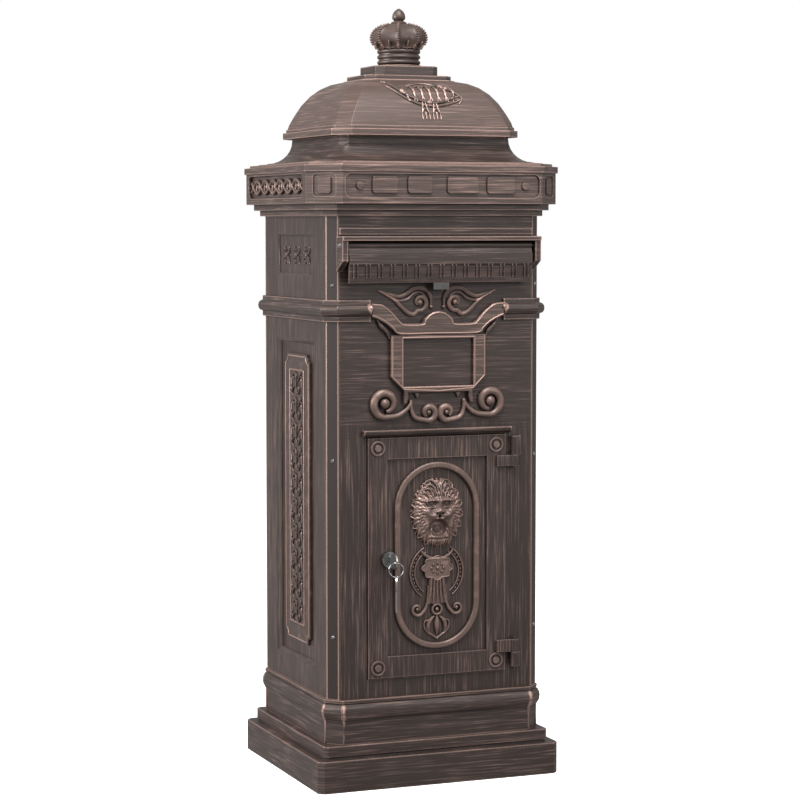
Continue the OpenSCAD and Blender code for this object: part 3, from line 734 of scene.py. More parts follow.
@dataclass
class Case:
    """Plinth, pedestal, walls, cornice, roof and dome: the plain castings."""

    soft: float = 0.9
    thin: float = 0.45
    facet: float = 19.0
    swell: float = 4.5
    rim_low: float = 60.0
    band_low: float = 91.0
    band_high: float = 113.0
    rim_half: float = 1.5

    def build(self) -> None:
        """Makes every plain casting of the case."""
        self.base()
        self.walls()
        self.top()

    def base(self) -> None:
        """The stepped plinth and the pedestal."""
        Casting.of_node("plinth").soften(self.soft).finish(
            "plinth_casting", LEVEL_PAINT, "cast_paint", "plinth")
        pedestal = Casting.of_node("pedestal").soften(self.thin)
        room = Room.of("pedestal")
        wide, deep = room.high.x - self.swell, room.high.y - self.swell
        for side in (1, -1):
            for face in (1, -1):
                for x, y, out in (
                        (wide - self.facet, deep, Vector((0.38, 0.92, 0.0))),
                        (wide, deep - self.facet, Vector((0.92, 0.38, 0.0)))):
                    pedestal.strand(self.rim(Vector((side * x, face * y, 0.0)),
                                             Vector((side * out.x, face * out.y, 0.0))),
                                    (self.rim_half, self.rim_half), 1.0, 8)
        pedestal.outward().finish("pedestal_casting", LEVEL_PAINT, "cast_paint", "pedestal")

    def rim(self, foot: Vector, out: Vector) -> list[Vector]:
        """Line of a raised rim that climbs the pedestal's corner and goes over its band.

        Args:
            foot: The corner it climbs, at ground level.
            out: Way that the band swells there.

        Returns:
            The line, in millimetres.
        """
        line = [foot + UP * self.rim_low, foot + UP * (self.band_low - 1.0)]
        span = self.band_high - self.band_low
        for i in range(1, 8):
            share = i / 8
            line.append(foot + UP * (self.band_low + span * share)
                        + out * self.swell * math.sin(math.pi * share))
        return line

    def walls(self) -> None:
        """The four panels and the four corner posts."""
        for node in ("front_panel", "back_panel", "left_panel", "right_panel"):
            paint = FRONT_PAINT if node == "front_panel" else UPRIGHT_PAINT
            Casting.of_node(node).soften(self.thin).finish(
                node + "_casting", paint, "cast_paint", node)
        for side in ("front_left", "front_right", "back_left", "back_right"):
            Casting.of_node(side + "_post").soften(self.thin).finish(
                side + "_post_casting", POST_SHADE_PAINT, "cast_paint", side + "_post")

    def top(self) -> None:
        """The head rail, the cornice, the roof and the dome."""
        paints = {"head_rail": LEVEL_PAINT, "cornice": CORNICE_PAINT, "roof": LEVEL_PAINT,
                  "dome": DOME_SHEEN_PAINT, "finial_base": LEVEL_PAINT}
        for node, paint in paints.items():
            Casting.of_node(node).soften(self.thin).finish(
                node + "_casting", paint, "cast_paint", node)


# ---------------------------------------------------------------- letter slot


@dataclass
class LetterSlot:
    """Hood, and flap with its row of paired ridges."""

    tabs: int = 15
    ridge_gap: float = 5.0
    tab_top: float = 684.0
    tab_foot: float = 667.0
    tab_rise: float = 2.7

    def build(self) -> None:
        """Makes the hood and the flap."""
        Casting.of_node("hood").soften(0.7).finish(
            "hood_casting", LEVEL_PAINT, "cast_paint", "hood")
        Casting.of_node("flap").soften(0.35).take(self.valance()).finish(
            "flap_casting", FLAP_PAINT, "relief_paint", "flap")

    def tab(self) -> Casting:
        """One group: two upright ridges side by side.

        Returns:
            A new casting, drawn flat.
        """
        made = Casting()
        for side in (1, -1):
            line = [(side * self.ridge_gap / 2, z)
                    for z in (self.tab_top, 679.0, 672.0, self.tab_foot)]
            made.strand(raised(line, self.tab_rise - 0.9), (0.7, 1.25, 1.25, 0.9), 1.0, 8)
        return made

    def valance(self) -> Casting:
        """The whole row of tabs along the foot of the flap.

        Returns:
            The row, in its place on the flap.
        """
        room = Room.of("flap")
        pitch = (room.high.x - room.low.x) / self.tabs
        tab = self.tab()
        row = Casting()
        for i in range(self.tabs):
            row.take(tab, Matrix.Translation((room.low.x + pitch * (i + 0.5), 0.0, 0.0)))
        return row.stand(Facing.FRONT, Vector((0.0, room.low.y + self.tab_rise, 0.0)))


# ---------------------------------------------------------------- front ornament


@dataclass
class FrontOrnament:
    """Belt moulding, cartouche, name frame and the scrolls above and below it."""

    rise: float = 7.5
    upper_volute: Flat = (25.0, 634.0)
    large_volute: Flat = (74.0, 503.0)
    small_volute: Flat = (12.5, 490.0)

    def build(self) -> None:
        """Makes every ornament between the belt and the door."""
        self.belt()
        self.cartouche()
        self.name_frame()
        self.upper_scrolls()
        self.lower_scrolls()
        Casting.of_node("door_head").soften(0.5).finish(
            "door_head_moulding", LEVEL_PAINT, "relief_paint", "door_head")

    def on_wall(self, work: Casting) -> Casting:
        """Lays drawn work on the front panel, facing outwards."""
        return work.stand(Facing.FRONT, Vector((0.0, Room.of("front_panel").low.y, 0.0)))

    def belt(self) -> None:
        """The belt moulding with a small ball at each end of its gap."""
        gap, height = 94.0, Room.of("belt_moulding").mid.z + 3.0
        balls = Casting().ball((gap, height, 4.5), 5.2).ball((-gap, height, 4.5), 5.2)
        Casting.of_node("belt_moulding").soften(0.5).take(self.on_wall(balls)).finish(
            "belt_casting", LEVEL_PAINT, "relief_paint", "belt_moulding")

    def cartouche(self) -> None:
        """The horned plate, with raised lines that follow its edges."""
        lines = Casting()
        upper = [(0.0, 621.0), (8.0, 619.4), (14.0, 615.6), (18.6, 610.6), (22.4, 605.0),
                 (48.6, 605.0), (56.0, 609.6), (66.0, 620.6), (78.4, 630.0), (92.0, 631.8)]
        lower = [(0.0, 594.2), (53.8, 594.2), (62.2, 600.0), (70.2, 607.2), (82.4, 614.2),
                 (92.0, 618.0)]
        for line in (upper, lower):
            lines.pair(raised(curve(line, 4), self.rise), (0.95, 0.95), 0.9, 6)
        leaf = curve([(85.0, 612.0), (79.0, 603.6), (72.0, 597.0), (67.6, 588.0)])
        lines.pair(raised(leaf, self.rise * 0.5), (0.8, 2.8, 2.4, 0.8), 0.8)
        Casting.of_node("cartouche").soften(1.1).take(self.on_wall(lines)).finish(
            "cartouche_casting", BLOCK_PAINT, "relief_paint", "cartouche")

    def name_frame(self) -> None:
        """The frame round the name plate, with raised lines along its window and its edge."""
        lines = Casting()
        window = [(0.0, 523.4), (51.0, 523.4), (51.0, 588.6), (0.0, 588.6)]
        outer = [(0.0, 518.6), (48.6, 521.4), (65.0, 538.0), (65.0, 590.0)]
        for path in (window, outer):
            for start, end in zip(path, path[1:]):
                lines.pair(raised([start, end], self.rise), (1.0, 1.0), 0.9, 6)
        Casting.of_node("name_frame").soften(0.9).take(self.on_wall(lines)).finish(
            "name_frame_casting", BLOCK_PAINT, "relief_paint", "name_frame")

    def upper_scrolls(self) -> None:
        """The pair of scrolls with leaf tails over the cartouche."""
        work = Casting()
        volute = spiral(self.upper_volute, (4.4, 11.0), (-40.0, 285.0))
        tail = curve([volute[-1], (34.0, 618.6), (43.0, 621.6), (53.0, 631.0), (64.0, 640.4),
                      (83.0, 650.0)])
        work.pair(raised([*volute[:-1], *tail], 1.8), (1.6, 2.9, 3.3, 3.2, 3.0, 2.6, 0.6), 0.95)
        crest = curve([(9.4, 629.0), (9.4, 640.0), (15.0, 649.6), (25.0, 653.2), (35.0, 651.8),
                       (45.0, 645.4), (55.0, 642.0), (68.0, 645.2), (83.0, 650.0)])
        work.pair(raised(crest, 1.8), (1.2, 2.8, 3.6, 3.2, 3.2, 3.0, 0.6), 0.95)
        vein = curve([(17.0, 640.6), (24.0, 647.0), (33.0, 646.2), (42.0, 639.0), (55.0, 636.6),
                      (67.0, 641.6), (81.0, 648.6)])
        work.pair(raised(vein, 2.2), (0.6, 1.5, 1.7, 1.5, 0.4), 1.0, 6)
        for side in (1, -1):
            work.ball((side * self.upper_volute[0], self.upper_volute[1], 1.4), 4.4, 1.1, 16)
            work.ball((side * 8.6, 628.0, 1.2), 2.6, 1.0, 10)
        self.on_wall(work).finish("upper_scroll_casting", RELIEF_PAINT, "relief_paint",
                                  "upper_scrolls")

    def lower_scrolls(self) -> None:
        """Round scrolls, a large and a small one on each side, with ball cores."""
        work = Casting()
        large = spiral(self.large_volute, (17.6, 10.0), (-90.0, 262.0), 72)
        arm = curve([(37.0, 504.0), (44.0, 495.0), (56.0, 487.4), large[0]])
        work.pair(raised([*arm[:-1], *large], 3.4), (2.2, 4.0, 5.2, 5.4, 5.2, 4.4, 2.8), 1.0, 16)
        small = spiral(self.small_volute, (10.6, 5.6), (-70.0, -410.0), 64)
        link = curve([(38.0, 504.0), (36.6, 493.0), (31.0, 483.6), small[0]])
        work.pair(raised([*link[:-1], *small], 3.0), (2.2, 3.8, 4.5, 4.3, 3.7, 2.3), 1.0, 16)
        for side in (1, -1):
            work.ball((side * (self.large_volute[0] + 0.6), self.large_volute[1] + 0.6, 2.6),
                      7.2, 1.05, 20)
            work.ball((side * self.small_volute[0], self.small_volute[1] + 0.4, 2.2), 3.9, 1.05, 16)
            work.ball((side * 37.6, 505.0, 2.0), 3.0, 1.0, 10)
            work.plate([(side * 25.0, 516.7), (side * 33.0, 516.7), (side * 29.0, 509.0)],
                       -0.4, 4.0, 0.6, 1)
        self.on_wall(work).finish("lower_scroll_casting", SCROLL_PAINT, "relief_paint",
                                  "lower_scrolls")


# ---------------------------------------------------------------- door


def swell_at(x: float, z: float, centre: Flat, reach: Flat, rise: float) -> float:
    """Height of a smooth round swelling, or hollow if the rise is negative."""
    return rise * math.exp(-((x - centre[0]) / reach[0]) ** 2 - ((z - centre[1]) / reach[1]) ** 2)


@dataclass
class LionMask:
    """The lion mask: a modelled face inside a mass of curling mane."""

    half_w: float = 35.5
    half_h: float = 44.5
    dome: float = 10.5
    locks: float = 19.0
    cells: int = 112
    brow_z: float = 11.6
    face_up: float = 6.5
    face_size: float = 1.12
    centre_z: float = 357.5

    def mane_height(self, x: float, z: float, out: float) -> float:
        """Height that the carved locks add.

        Args:
            x: Distance from the middle, in millimetres.
            z: Height over the centre of the mask, in millimetres.
            out: Distance from the centre as a share of the mask's size.

        Returns:
            The height, in millimetres.
        """
        turn = self.locks * math.atan2(abs(x), z) / math.pi
        total = 0.0
        for start, stop, shift, rise in ((0.52, 0.80, 0.0, 1.9), (0.72, 1.02, 0.5, 1.9)):
            share = (out - start) / (stop - start)
            if 0.0 < share < 1.0:
                swirl = 0.34 * math.sin(share * math.pi * 1.35)
                ridge = abs(math.sin(math.pi * (turn + shift + swirl))) ** 0.75
                fine = 0.28 * abs(math.sin(3.0 * math.pi * (turn + shift + swirl)))
                total += rise * math.sin(math.pi * share) ** 0.6 * (ridge - fine)
        return total

    def face_height(self, x: float, z: float) -> float:
        """Height of the mask over the door field.

        Args:
            x: Distance from the middle, in millimetres.
            z: Height over the centre of the mask, in millimetres.

        Returns:
            The height, in millimetres.
        """
        out = math.hypot(x / self.half_w, z / self.half_h)
        height = self.dome * math.sqrt(max(1.0 - out * out, 0.0))
        bare = (x / 18.0) ** 2 + ((z + 7.0) / 29.0) ** 2
        height += self.mane_height(x, z, out) * min(max((bare - 0.85) / 0.35, 0.0), 1.0)
        x, z = x / self.face_size, (z - self.face_up) / self.face_size
        side = abs(x)
        swellings = (
            ((7.2, self.brow_z - 1.5), (6.2, 2.3), 5.4),
            ((14.4, self.brow_z - 2.4), (4.2, 2.4), 4.0),
            ((5.0, 20.0), (4.2, 5.0), 1.6), ((9.4, 6.4), (4.8, 2.8), -4.4),
            ((9.4, 6.0), (3.0, 1.8), 5.6), ((9.8, 1.8), (5.0, 1.3), 2.8),
            ((14.6, -3.4), (4.6, 4.4), 4.6), ((3.4, -5.2), (1.3, 1.1), -3.4),
            ((4.8, -3.4), (2.4, 2.2), 3.4), ((7.6, -8.0), (6.4, 2.8), 5.6),
            ((15.4, -20.0), (3.0, 9.0), 3.4), ((3.2, -12.6), (1.1, 1.8), 2.4),
        )
        for centre, spread, rise in swellings:
            height += swell_at(side, z, centre, spread, rise)
        middle = (
            ((0.0, 6.0), (3.4, 8.4), 6.0), ((0.0, -2.8), (5.0, 2.9), 5.4),
            ((0.0, 18.0), (1.1, 8.0), -2.0), ((0.0, -8.4), (0.9, 2.6), -3.0),
            ((0.0, -11.4), (10.4, 1.5), 3.4), ((0.0, -33.4), (9.4, 1.9), 5.4),
            ((0.0, -38.4), (8.4, 3.0), 4.0),
        )
        for centre, spread, rise in middle:
            height += swell_at(x, z, centre, spread, rise)
        mouth = (x / 11.0) ** 2 + ((z + 22.4) / 9.4) ** 2
        open_share = math.exp(-mouth ** 4)
        tongue = 0.6 + swell_at(x, z, (0.0, -25.0), (4.6, 5.4), 4.6) + swell_at(
            x, z, (0.0, -25.0), (0.7, 5.0), -1.2)
        return max(height * (1.0 - open_share) + tongue * open_share, 0.3)

    def face(self) -> Casting:
        """The face and the mass of the mane as a closed shell.

        Returns:
            A new casting, drawn flat.
        """
        made = Casting()
        bmesh.ops.create_grid(made.bm, x_segments=self.cells, y_segments=self.cells, size=1.0)
        grown = bmesh.ops.extrude_face_region(made.bm, geom=made.bm.faces[:])["geom"]
        top = [g for g in grown if isinstance(g, bmesh.types.BMVert)]
        for vert in made.bm.verts:
            x, z = vert.co.x, vert.co.y
            right, high = x * math.sqrt(1.0 - z * z / 2.0), z * math.sqrt(1.0 - x * x / 2.0)
            turn = self.locks * math.atan2(abs(right), high) * 2.0
            tuft = 1.0 + 0.035 * math.hypot(right, high) ** 6 * math.cos(turn)
            vert.co.x, vert.co.y = right * self.half_w * tuft, high * self.half_h * tuft
        for vert in top:
            vert.co.z = self.face_height(vert.co.x, vert.co.y)
        return made

    def curl(self, turn: float, inner: float, outer: float, lift: float, width: float,
             bend: float) -> tuple[list[Vector], tuple[float, ...]]:
        """Path and widths of one curling lock that lies on the mass.

        Args:
            turn: Its direction from the centre, in degrees from the right.
            inner: Where it starts, as a share of the mask's size.
            outer: Where it ends, as a share of the mask's size.
            lift: Height at which it starts.
            width: Its half width at the widest.
            bend: How far it curls to one side.

        Returns:
            The path and the half widths along it.
        """
        way = Vector((math.cos(math.radians(turn)), math.sin(math.radians(turn)), 0.0))
        across = Vector((-way.y, way.x, 0.0))
        size = Vector((self.half_w, self.half_h, 1.0))
        knots = []
        for share, slide, drop in ((0.0, 0.0, 1.0), (0.30, 1.2, 1.05), (0.62, 0.3, 0.82),
                                   (0.90, -1.7, 0.56), (1.0, -3.0, 0.42), (0.92, -3.9, 0.40)):
            at = way * (inner + (outer - inner) * share) * size
            knots.append(at + across * slide * bend + UP * lift * drop)
        return curve(knots, 3), (width * 0.4, width, width * 0.9, width * 0.7, width * 0.5, 0.25)

    def mane(self) -> Casting:
        """Curls that stand out of the mass and the beard, the same on both sides.

        Returns:
            A new casting, drawn flat.
        """
        made = Casting()
        rings = ((0.76, 1.04, 5.8, 0.85, 16), (0.62, 0.90, 8.2, 0.80, 15),
                 (0.52, 0.74, 10.2, 0.75, 13))
        for ring, (inner, outer, lift, width, count) in enumerate(rings):
            for i in range(count):
                turn = -66.0 + 152.0 * (i + 0.5 * ring) / (count - 0.5)
                bend = 1.0 if i % 2 else -0.8
                path, widths = self.curl(turn, inner, outer, lift, width, bend)
                made.pair(path, widths, 0.8, 6)
        forelocks = (
            [(1.6, 27.0, 12.0), (3.4, 37.0, 9.6), (8.6, 43.4, 5.6), (15.4, 42.6, 4.2),
             (19.4, 37.6, 5.0)],
            [(4.6, 27.6, 12.2), (7.6, 35.4, 9.6), (13.0, 38.0, 7.4), (17.6, 34.4, 7.0)],
            [(9.6, 26.6, 11.4), (12.8, 32.0, 9.4), (18.6, 32.4, 7.4), (23.6, 30.0, 5.4)],
            [(14.0, 22.4, 10.8), (18.0, 27.0, 8.6), (24.0, 26.4, 6.0), (28.4, 22.4, 4.2)],
        )
        for knots in forelocks:
            made.pair(curve(knots, 4), (0.5, 1.25, 1.05, 0.3), 0.9, 8)
        for x, foot in ((1.4, -45.6), (4.4, -44.8), (7.6, -43.2), (10.8, -40.8), (14.0, -37.4)):
            beard = curve([(x * 0.8, -33.4, 8.6), (x + 0.9, -37.0, 7.6), (x, -40.4, 5.6),
                           (x * 0.86, foot, 1.6)], 3)
            made.pair(beard, (0.6, 1.05, 0.95, 0.3), 0.9, 6)
        return made

    def build(self) -> None:
        """Makes the mask on the door's field."""
        room = Room.of("lion_mask")
        work = self.face().take(self.mane())
        work.stand(Facing.FRONT, Vector((0.0, room.high.y, self.centre_z)))
        work.finish("lion_mask_casting", RELIEF_PAINT, "relief_paint", "lion_mask", smooth=60.0)


@dataclass
class Door:
    """The collection door with its bead, roundels, mask and pendant."""

    shield_z: float = 285.0
    shield_r: float = 17.5
    lyre_z: float = 279.0
    lyre_dots: float = 34.4
    foot_scroll: Flat = (28.0, 231.0)
    leaf_ring: Flat = (0.0, 230.0)

    def build(self) -> None:
        """Makes everything that swings with the door, and the hinge lugs beside it."""
        Casting.of_node("door").soften(0.6).finish("door_casting", DOOR_PAINT, "cast_paint", "door")
        Casting.of_node("door_bead").soften(2.3, 4).finish(
            "door_bead_casting", RELIEF_PAINT, "relief_paint", "door_bead")
        Casting.of_node("door_roundels").soften(0.5).finish(
            "door_roundel_castings", RELIEF_PAINT, "relief_paint", "door_roundels")
        for node in ("door_lugs", "panel_lugs"):
            Casting.of_node(node).soften(0.6).finish(node + "_casting", DOOR_PAINT, "cast_paint",
                                                     node)
        LionMask().build()
        self.pendant()

    def pendant(self) -> None:
        """The drop under the mask: shield, fluted tail, lyre, scrolls and palmette."""
        work = Casting()
        self.shield(work)
        self.tail(work)
        self.lyre(work)
        self.palmette(work)
        work.stand(Facing.FRONT, Vector((0.0, Room.of("door_pendant").high.y, 0.0)))
        work.finish("door_pendant_casting", PENDANT_PAINT, "relief_paint", "door_pendant")

    def shield(self, work: Casting) -> None:
        """Collar and eight-lobed shield with a rosette of dots."""
        collar = curve([(0.0, 297.0), (10.0, 298.4), (18.0, 303.0), (22.0, 308.0)])
        work.pair(raised(collar, 3.0), (2.4, 2.2, 1.0), 1.0)
        edge = []
        for i in range(49):
            turn = math.tau * i / 48
            reach = self.shield_r * (1.0 + 0.10 * math.cos(8.0 * turn))
            edge.append((reach * 1.16 * math.sin(turn),
                         self.shield_z + reach * 0.84 * math.cos(turn)))
        work.plate(edge[:-1], -0.4, 4.4, 0.8, 1)
        work.strand(raised(edge, 4.4), (1.1, 1.1), 1.0, 6)
        work.ball((0.0, self.shield_z, 4.6), 2.8, 0.9)
        for i in range(8):
            turn = math.tau * i / 8
            work.ball((8.6 * math.cos(turn), self.shield_z + 6.6 * math.sin(turn), 4.6),
                      2.0, 0.9, 8)

    def tail(self, work: Casting) -> None:
        """Flutes that run down from the shield and flare into two scrolls."""
        work.plate([(-11.0, 274.0), (11.0, 274.0), (12.5, 238.0), (-12.5, 238.0)], -0.4, 3.0, 0.8)
        for i in (0.0, 1.0, 2.0):
            flute = curve([(i * 4.0, 274.0), (i * 4.6, 256.0), (i * 5.9, 238.0)], 3)
            if i:
                work.pair(raised(flute, 3.4), (1.7, 1.9, 1.5), 1.1, 10)
            else:
                work.strand(raised(flute, 3.4), (1.7, 1.9, 1.5), 1.1, 10)
        scroll = spiral(self.foot_scroll, (8.6, 3.2), (-128.0, 190.0), 22)
        flare = curve([(12.4, 262.0), (12.8, 246.0), (15.6, 233.0), scroll[0]])
        work.pair(raised([*flare[:-1], *scroll], 2.4), (1.0, 2.0, 2.3, 2.0, 0.9), 1.0)
        for side in (1, -1):
            work.ball((side * self.foot_scroll[0], self.foot_scroll[1], 1.8), 2.8, 1.0, 10)

    def lyre(self, work: Casting) -> None:
        """Two pairs of arcs beside the tail, with a row of dots between them."""
        for radius, width in ((37.6, 1.3), (31.2, 1.1)):
            arc = spiral((0.0, self.lyre_z), (radius, radius), (-54.0, 60.0), 19)
            work.pair(raised(arc, 1.6), (0.7, width, width, 0.7), 1.1, 6)
        dots = spiral((0.0, self.lyre_z), (self.lyre_dots, self.lyre_dots), (-40.0, 50.0), 15)
        for line in (raised(dots, 1.4), mirrored(raised(dots, 1.4))):
            work.beads(line, 1.2, 11)

    def palmette(self, work: Casting) -> None:
        """Ring and three-lobed leaf inside a U at the foot."""
        work.strand(raised(circle(self.leaf_ring, 6.6, 20), 2.6), (1.7, 1.7), 1.0)
        work.ball((*self.leaf_ring, 2.4), 2.8, 1.0, 10)
        work.strand(raised(curve([(0.0, 221.6), (0.0, 209.0), (0.0, 196.0)]), 2.0),
                    (1.4, 3.8, 3.4, 0.5), 0.9)
        lobe = curve([(3.6, 221.0), (10.0, 214.6), (12.4, 206.0), (9.6, 197.6)])
        work.pair(raised(lobe, 1.8), (1.0, 2.8, 2.8, 0.5), 0.9)
        cup = curve([(0.0, 191.4), (7.0, 196.0), (12.6, 199.6), (17.4, 206.4), (17.0, 214.0),
                     (12.0, 216.0)])
        work.pair(raised(cup, 1.4), (1.5, 1.4, 0.8), 1.0, 6)


# ---------------------------------------------------------------- sides


@dataclass
class SideOrnament:
    """Plaque with its strip of scrolls, and the three flowers above, on one side."""

    facing: Facing
    side: str
    units: int = 10
    plaque_rise: float = 4.2
    notch: float = 10.0
    strip_half: float = 27.5
    strip_foot: float = 200.0
    strip_head: float = 541.0

    def build(self) -> None:
        """Makes the plaque and the flowers."""
        self.plaque()
        self.motifs()

    def outline(self, half: float, foot: float, head: float, notch: float) -> list[Flat]:
        """Upright rectangle whose corners are hollow quarter rounds.

        Args:
            half: Half its width.
            foot: Height of its lower edge.
            head: Height of its upper edge.
            notch: Radius of the hollows.

        Returns:
            Its corners in order.
        """
        points = []
        for sx, sz, start in ((1, -1, 180.0), (1, 1, 270.0), (-1, 1, 0.0), (-1, -1, 90.0)):
            corner = (sx * half, foot if sz < 0 else head)
            for i in range(7):
                turn = math.radians(start - 15.0 * i)
                points.append((corner[0] + notch * math.cos(turn),
                               corner[1] + notch * math.sin(turn)))
        return points

    def panel(self, room: Room) -> Vector:
        """Point on the side panel behind an ornament, in millimetres."""
        return Vector((room.high.x if self.facing is Facing.LEFT else room.low.x, 0.0, 0.0))

    def unit(self) -> Casting:
        """One length of the strip: a double scroll with leaves and beads.

        Returns:
            A new casting, drawn flat.
        """
        made = Casting()
        upper = spiral((-7.6, 7.2), (2.6, 8.4), (300.0, -30.0), 18)
        lower = [(-x, -z) for x, z in reversed(upper)]
        made.strand(raised([*upper, *lower], 0.9), (0.9, 1.9, 2.1, 1.9, 0.9), 0.9)
        leaf = curve([(4.0, 3.0), (12.0, 6.6), (16.6, 13.0), (11.0, 17.0)])
        for turn in (1.0, -1.0):
            flipped = [Vector((p.x * turn, p.y * turn, 0.9)) for p in leaf]
            made.strand(flipped, (0.8, 2.3, 1.8, 0.4), 0.9)
            made.ball((-7.6 * turn, 7.2 * turn, 0.8), 2.5, 0.8, 10)
            made.ball((19.6 * turn, 4.0 * turn, 0.6), 2.0, 0.8, 8)
            made.strand(raised([(16.0 * turn, 10.0 * turn), (20.6 * turn, 8.0 * turn),
                                (20.0 * turn, -6.0 * turn)], 0.6), (0.5, 1.3, 0.4), 0.9, 6)
        return made

    def plaque(self) -> None:
        """The notched plaque with two raised lines and the strip of scrolls."""
        node = self.side + "_plaque"
        room = Room.of(node)
        half, foot, head = room.high.y, room.low.z, room.high.z
        work = Casting().plate(self.outline(half, foot, head, self.notch), -0.3,
                               self.plaque_rise, 0.9)
        rim = self.outline(half - 3.4, foot + 3.4, head - 3.4, self.notch)
        work.strand(raised([*rim, rim[0]], self.plaque_rise), (0.9, 0.9), 0.8, 6)
        half, foot, head = self.strip_half, self.strip_foot, self.strip_head
        edge = [(-half, foot), (half, foot), (half, head), (-half, head)]
        for start, end in zip(edge, edge[1:] + edge[:1]):
            work.strand(raised([start, end], self.plaque_rise), (1.2, 1.2), 1.0, 6)
        pitch = (head - foot) / self.units
        unit = self.unit()
        for i in range(self.units):
            work.take(unit, Matrix.Translation((0.0, foot + pitch * (i + 0.5), self.plaque_rise)))
        work.stand(self.facing, self.panel(room))
        work.finish(node + "_casting", SIDE_RELIEF_PAINT, "relief_paint", node)

    def motifs(self) -> None:
        """Three four-leaved flowers in the upper recess."""
        node = self.side + "_motifs"
        room = Room.of(node)
        work = Casting()
        for y in (-40.0, 0.0, 40.0):
            flower = Casting().ball((0.0, 0.0, 0.6), 4.2, 0.7)
            for i in range(4):
                turn = math.tau * (i + 0.5) / 4
                way = Vector((math.cos(turn), math.sin(turn), 0.0))
                across = Vector((-way.y, way.x, 0.0)) * 3.6
                for bend in (across, -across):
                    flower.strand(curve([way * 3 + UP * 0.4, way * 9 + bend + UP * 0.8,
                                         way * 15.6 + UP * 0.4]), (0.8, 2.2, 0.5), 0.8)
                flower.ball(way * 10.4 + UP * 0.4, 1.9, 0.8, 8)
            work.take(flower, Matrix.Translation((y, room.mid.z, 0.0)))
        work.stand(self.facing, self.panel(room))
        work.finish(node + "_casting", SIDE_RELIEF_PAINT, "relief_paint", node)


# ---------------------------------------------------------------- frieze and dome


@dataclass
class Frieze:
    """Blocks on the front, running scrolls on the sides and bosses on the corners."""

    wave_pitch: float = 33.0
    wave_rise: float = 8.6
    wave_step: float = 3.25
    run: float = 104.0
    first_loop: float = 14.0
    loops: int = 3
    depth: float = 4.5

    def build(self) -> None:
        """Makes the ornament of the frieze."""
        Casting.of_node("frieze_blocks").soften(0.7).finish(
            "frieze_block_castings", BLOCK_PAINT, "relief_paint", "frieze_blocks")
        Casting.of_node("facet_bosses").soften(0.8).finish(
            "facet_boss_castings", BLOCK_PAINT, "relief_paint", "facet_bosses")
        room = Room.of("frieze_waves")
        work = Casting()
        for facing, back in ((Facing.LEFT, room.low.x + self.depth),
                             (Facing.RIGHT, room.high.x - self.depth)):
            work.take(self.waves(room.mid.z).stand(facing, Vector((back, 0.0, 0.0))))
        work.finish("frieze_wave_castings", RELIEF_PAINT, "relief_paint", "frieze_waves")

    def waves(self, middle: float) -> Casting:
        """Two crossing waves with a ringed rosette in each loop, mirrored about the centre.

        Args:
            middle: Height of their middle, in millimetres.

        Returns:
            One side's ornament, drawn flat.
        """
        made = Casting()
        for phase in (0.0, math.pi):
            wave = []
            for x in (i * self.wave_step for i in range(int(self.run / self.wave_step) + 1)):
                turn = math.pi * (x - self.first_loop) / self.wave_pitch + math.pi / 2 + phase
                wave.append((x, middle + self.wave_rise * math.sin(turn)))
            made.pair(raised(wave, 2.2), (2.0, 2.0), 1.0)
        for i in range(self.loops):
            centre = self.first_loop + self.wave_pitch * i
            for side in (1, -1):
                made.ball((side * centre, middle, 1.4), 3.8, 0.9)
                ring = circle((side * centre, middle), 6.2, 16)
                made.strand(raised(ring, 1.8), (1.1, 1.1), 1.0, 6)
        return made


@dataclass
class DomeGarland:
    """Ribbon garland that lies on the front slope of the dome."""

    ahead: float = 400.0

    def build(self) -> None:
        """Draws the ribbons flat and lays them on the slope."""
        work = Casting()
        ribbons = [
            ([(-54, 921), (-47, 921), (-36, 913), (-24, 904), (-6, 897), (14, 894.5), (34, 899),
              (48, 904)], 2.3),
            ([(-50, 916), (-38, 907), (-24, 898), (-8, 892), (14, 890), (36, 894), (50, 899)], 1.5),
            ([(-22, 916), (0, 921), (22, 918), (40, 911), (52, 901), (46, 893)], 1.7),
        ]
        for x in (-20.0, -9.0, 2.0, 13.0, 24.0, 35.0):
            ribbons.append(([(x - 3, 896), (x - 5, 908), (x + 2, 916.5), (x + 7, 908),
                             (x + 4, 896)], 1.15))
        for x in (-3.8, 11.6):
            ribbons.append(([(x - 5, 872), (x - 4.6, 881), (x, 886), (x + 4.6, 881), (x + 5, 872)],
                            1.4))
            ribbons.append(([(x, 872.5), (x, 881.5)], 0.9))
            for side in (-1, 1):
                ribbons.append(([(x + side * 1.8, 895), (x + side * 2.6, 889),
                                 (x + side * 4.4, 882)], 1.0))
        for knots, width in ribbons:
            work.strand(raised(curve(knots, 6), 0.9), (0.6, width, width, 0.6), 0.9, 8)
        for x, z in ((3.8, 893.0), (-30.0, 908.5), (40.0, 901.0)):
            work.ball((x, z, 1.2), 3.0, 0.8)
        slope = Casting.of_node("dome")
        bmesh.ops.triangulate(slope.bm, faces=slope.bm.faces)
        tree = BVHTree.FromBMesh(slope.bm)

        def settle(place: Vector) -> Vector:
            """Moves a drawn point onto the slope, as high over it as it was drawn."""
            hit, normal, _, _ = tree.ray_cast(Vector((place.x, -self.ahead, place.y)),
                                              Vector((0.0, 1.0, 0.0)))
            return hit + normal * place.z

        work.shape(settle)
        slope.bm.free()
        work.finish("dome_garland_casting", CROWN_PAINT, "relief_paint", "dome_garland")


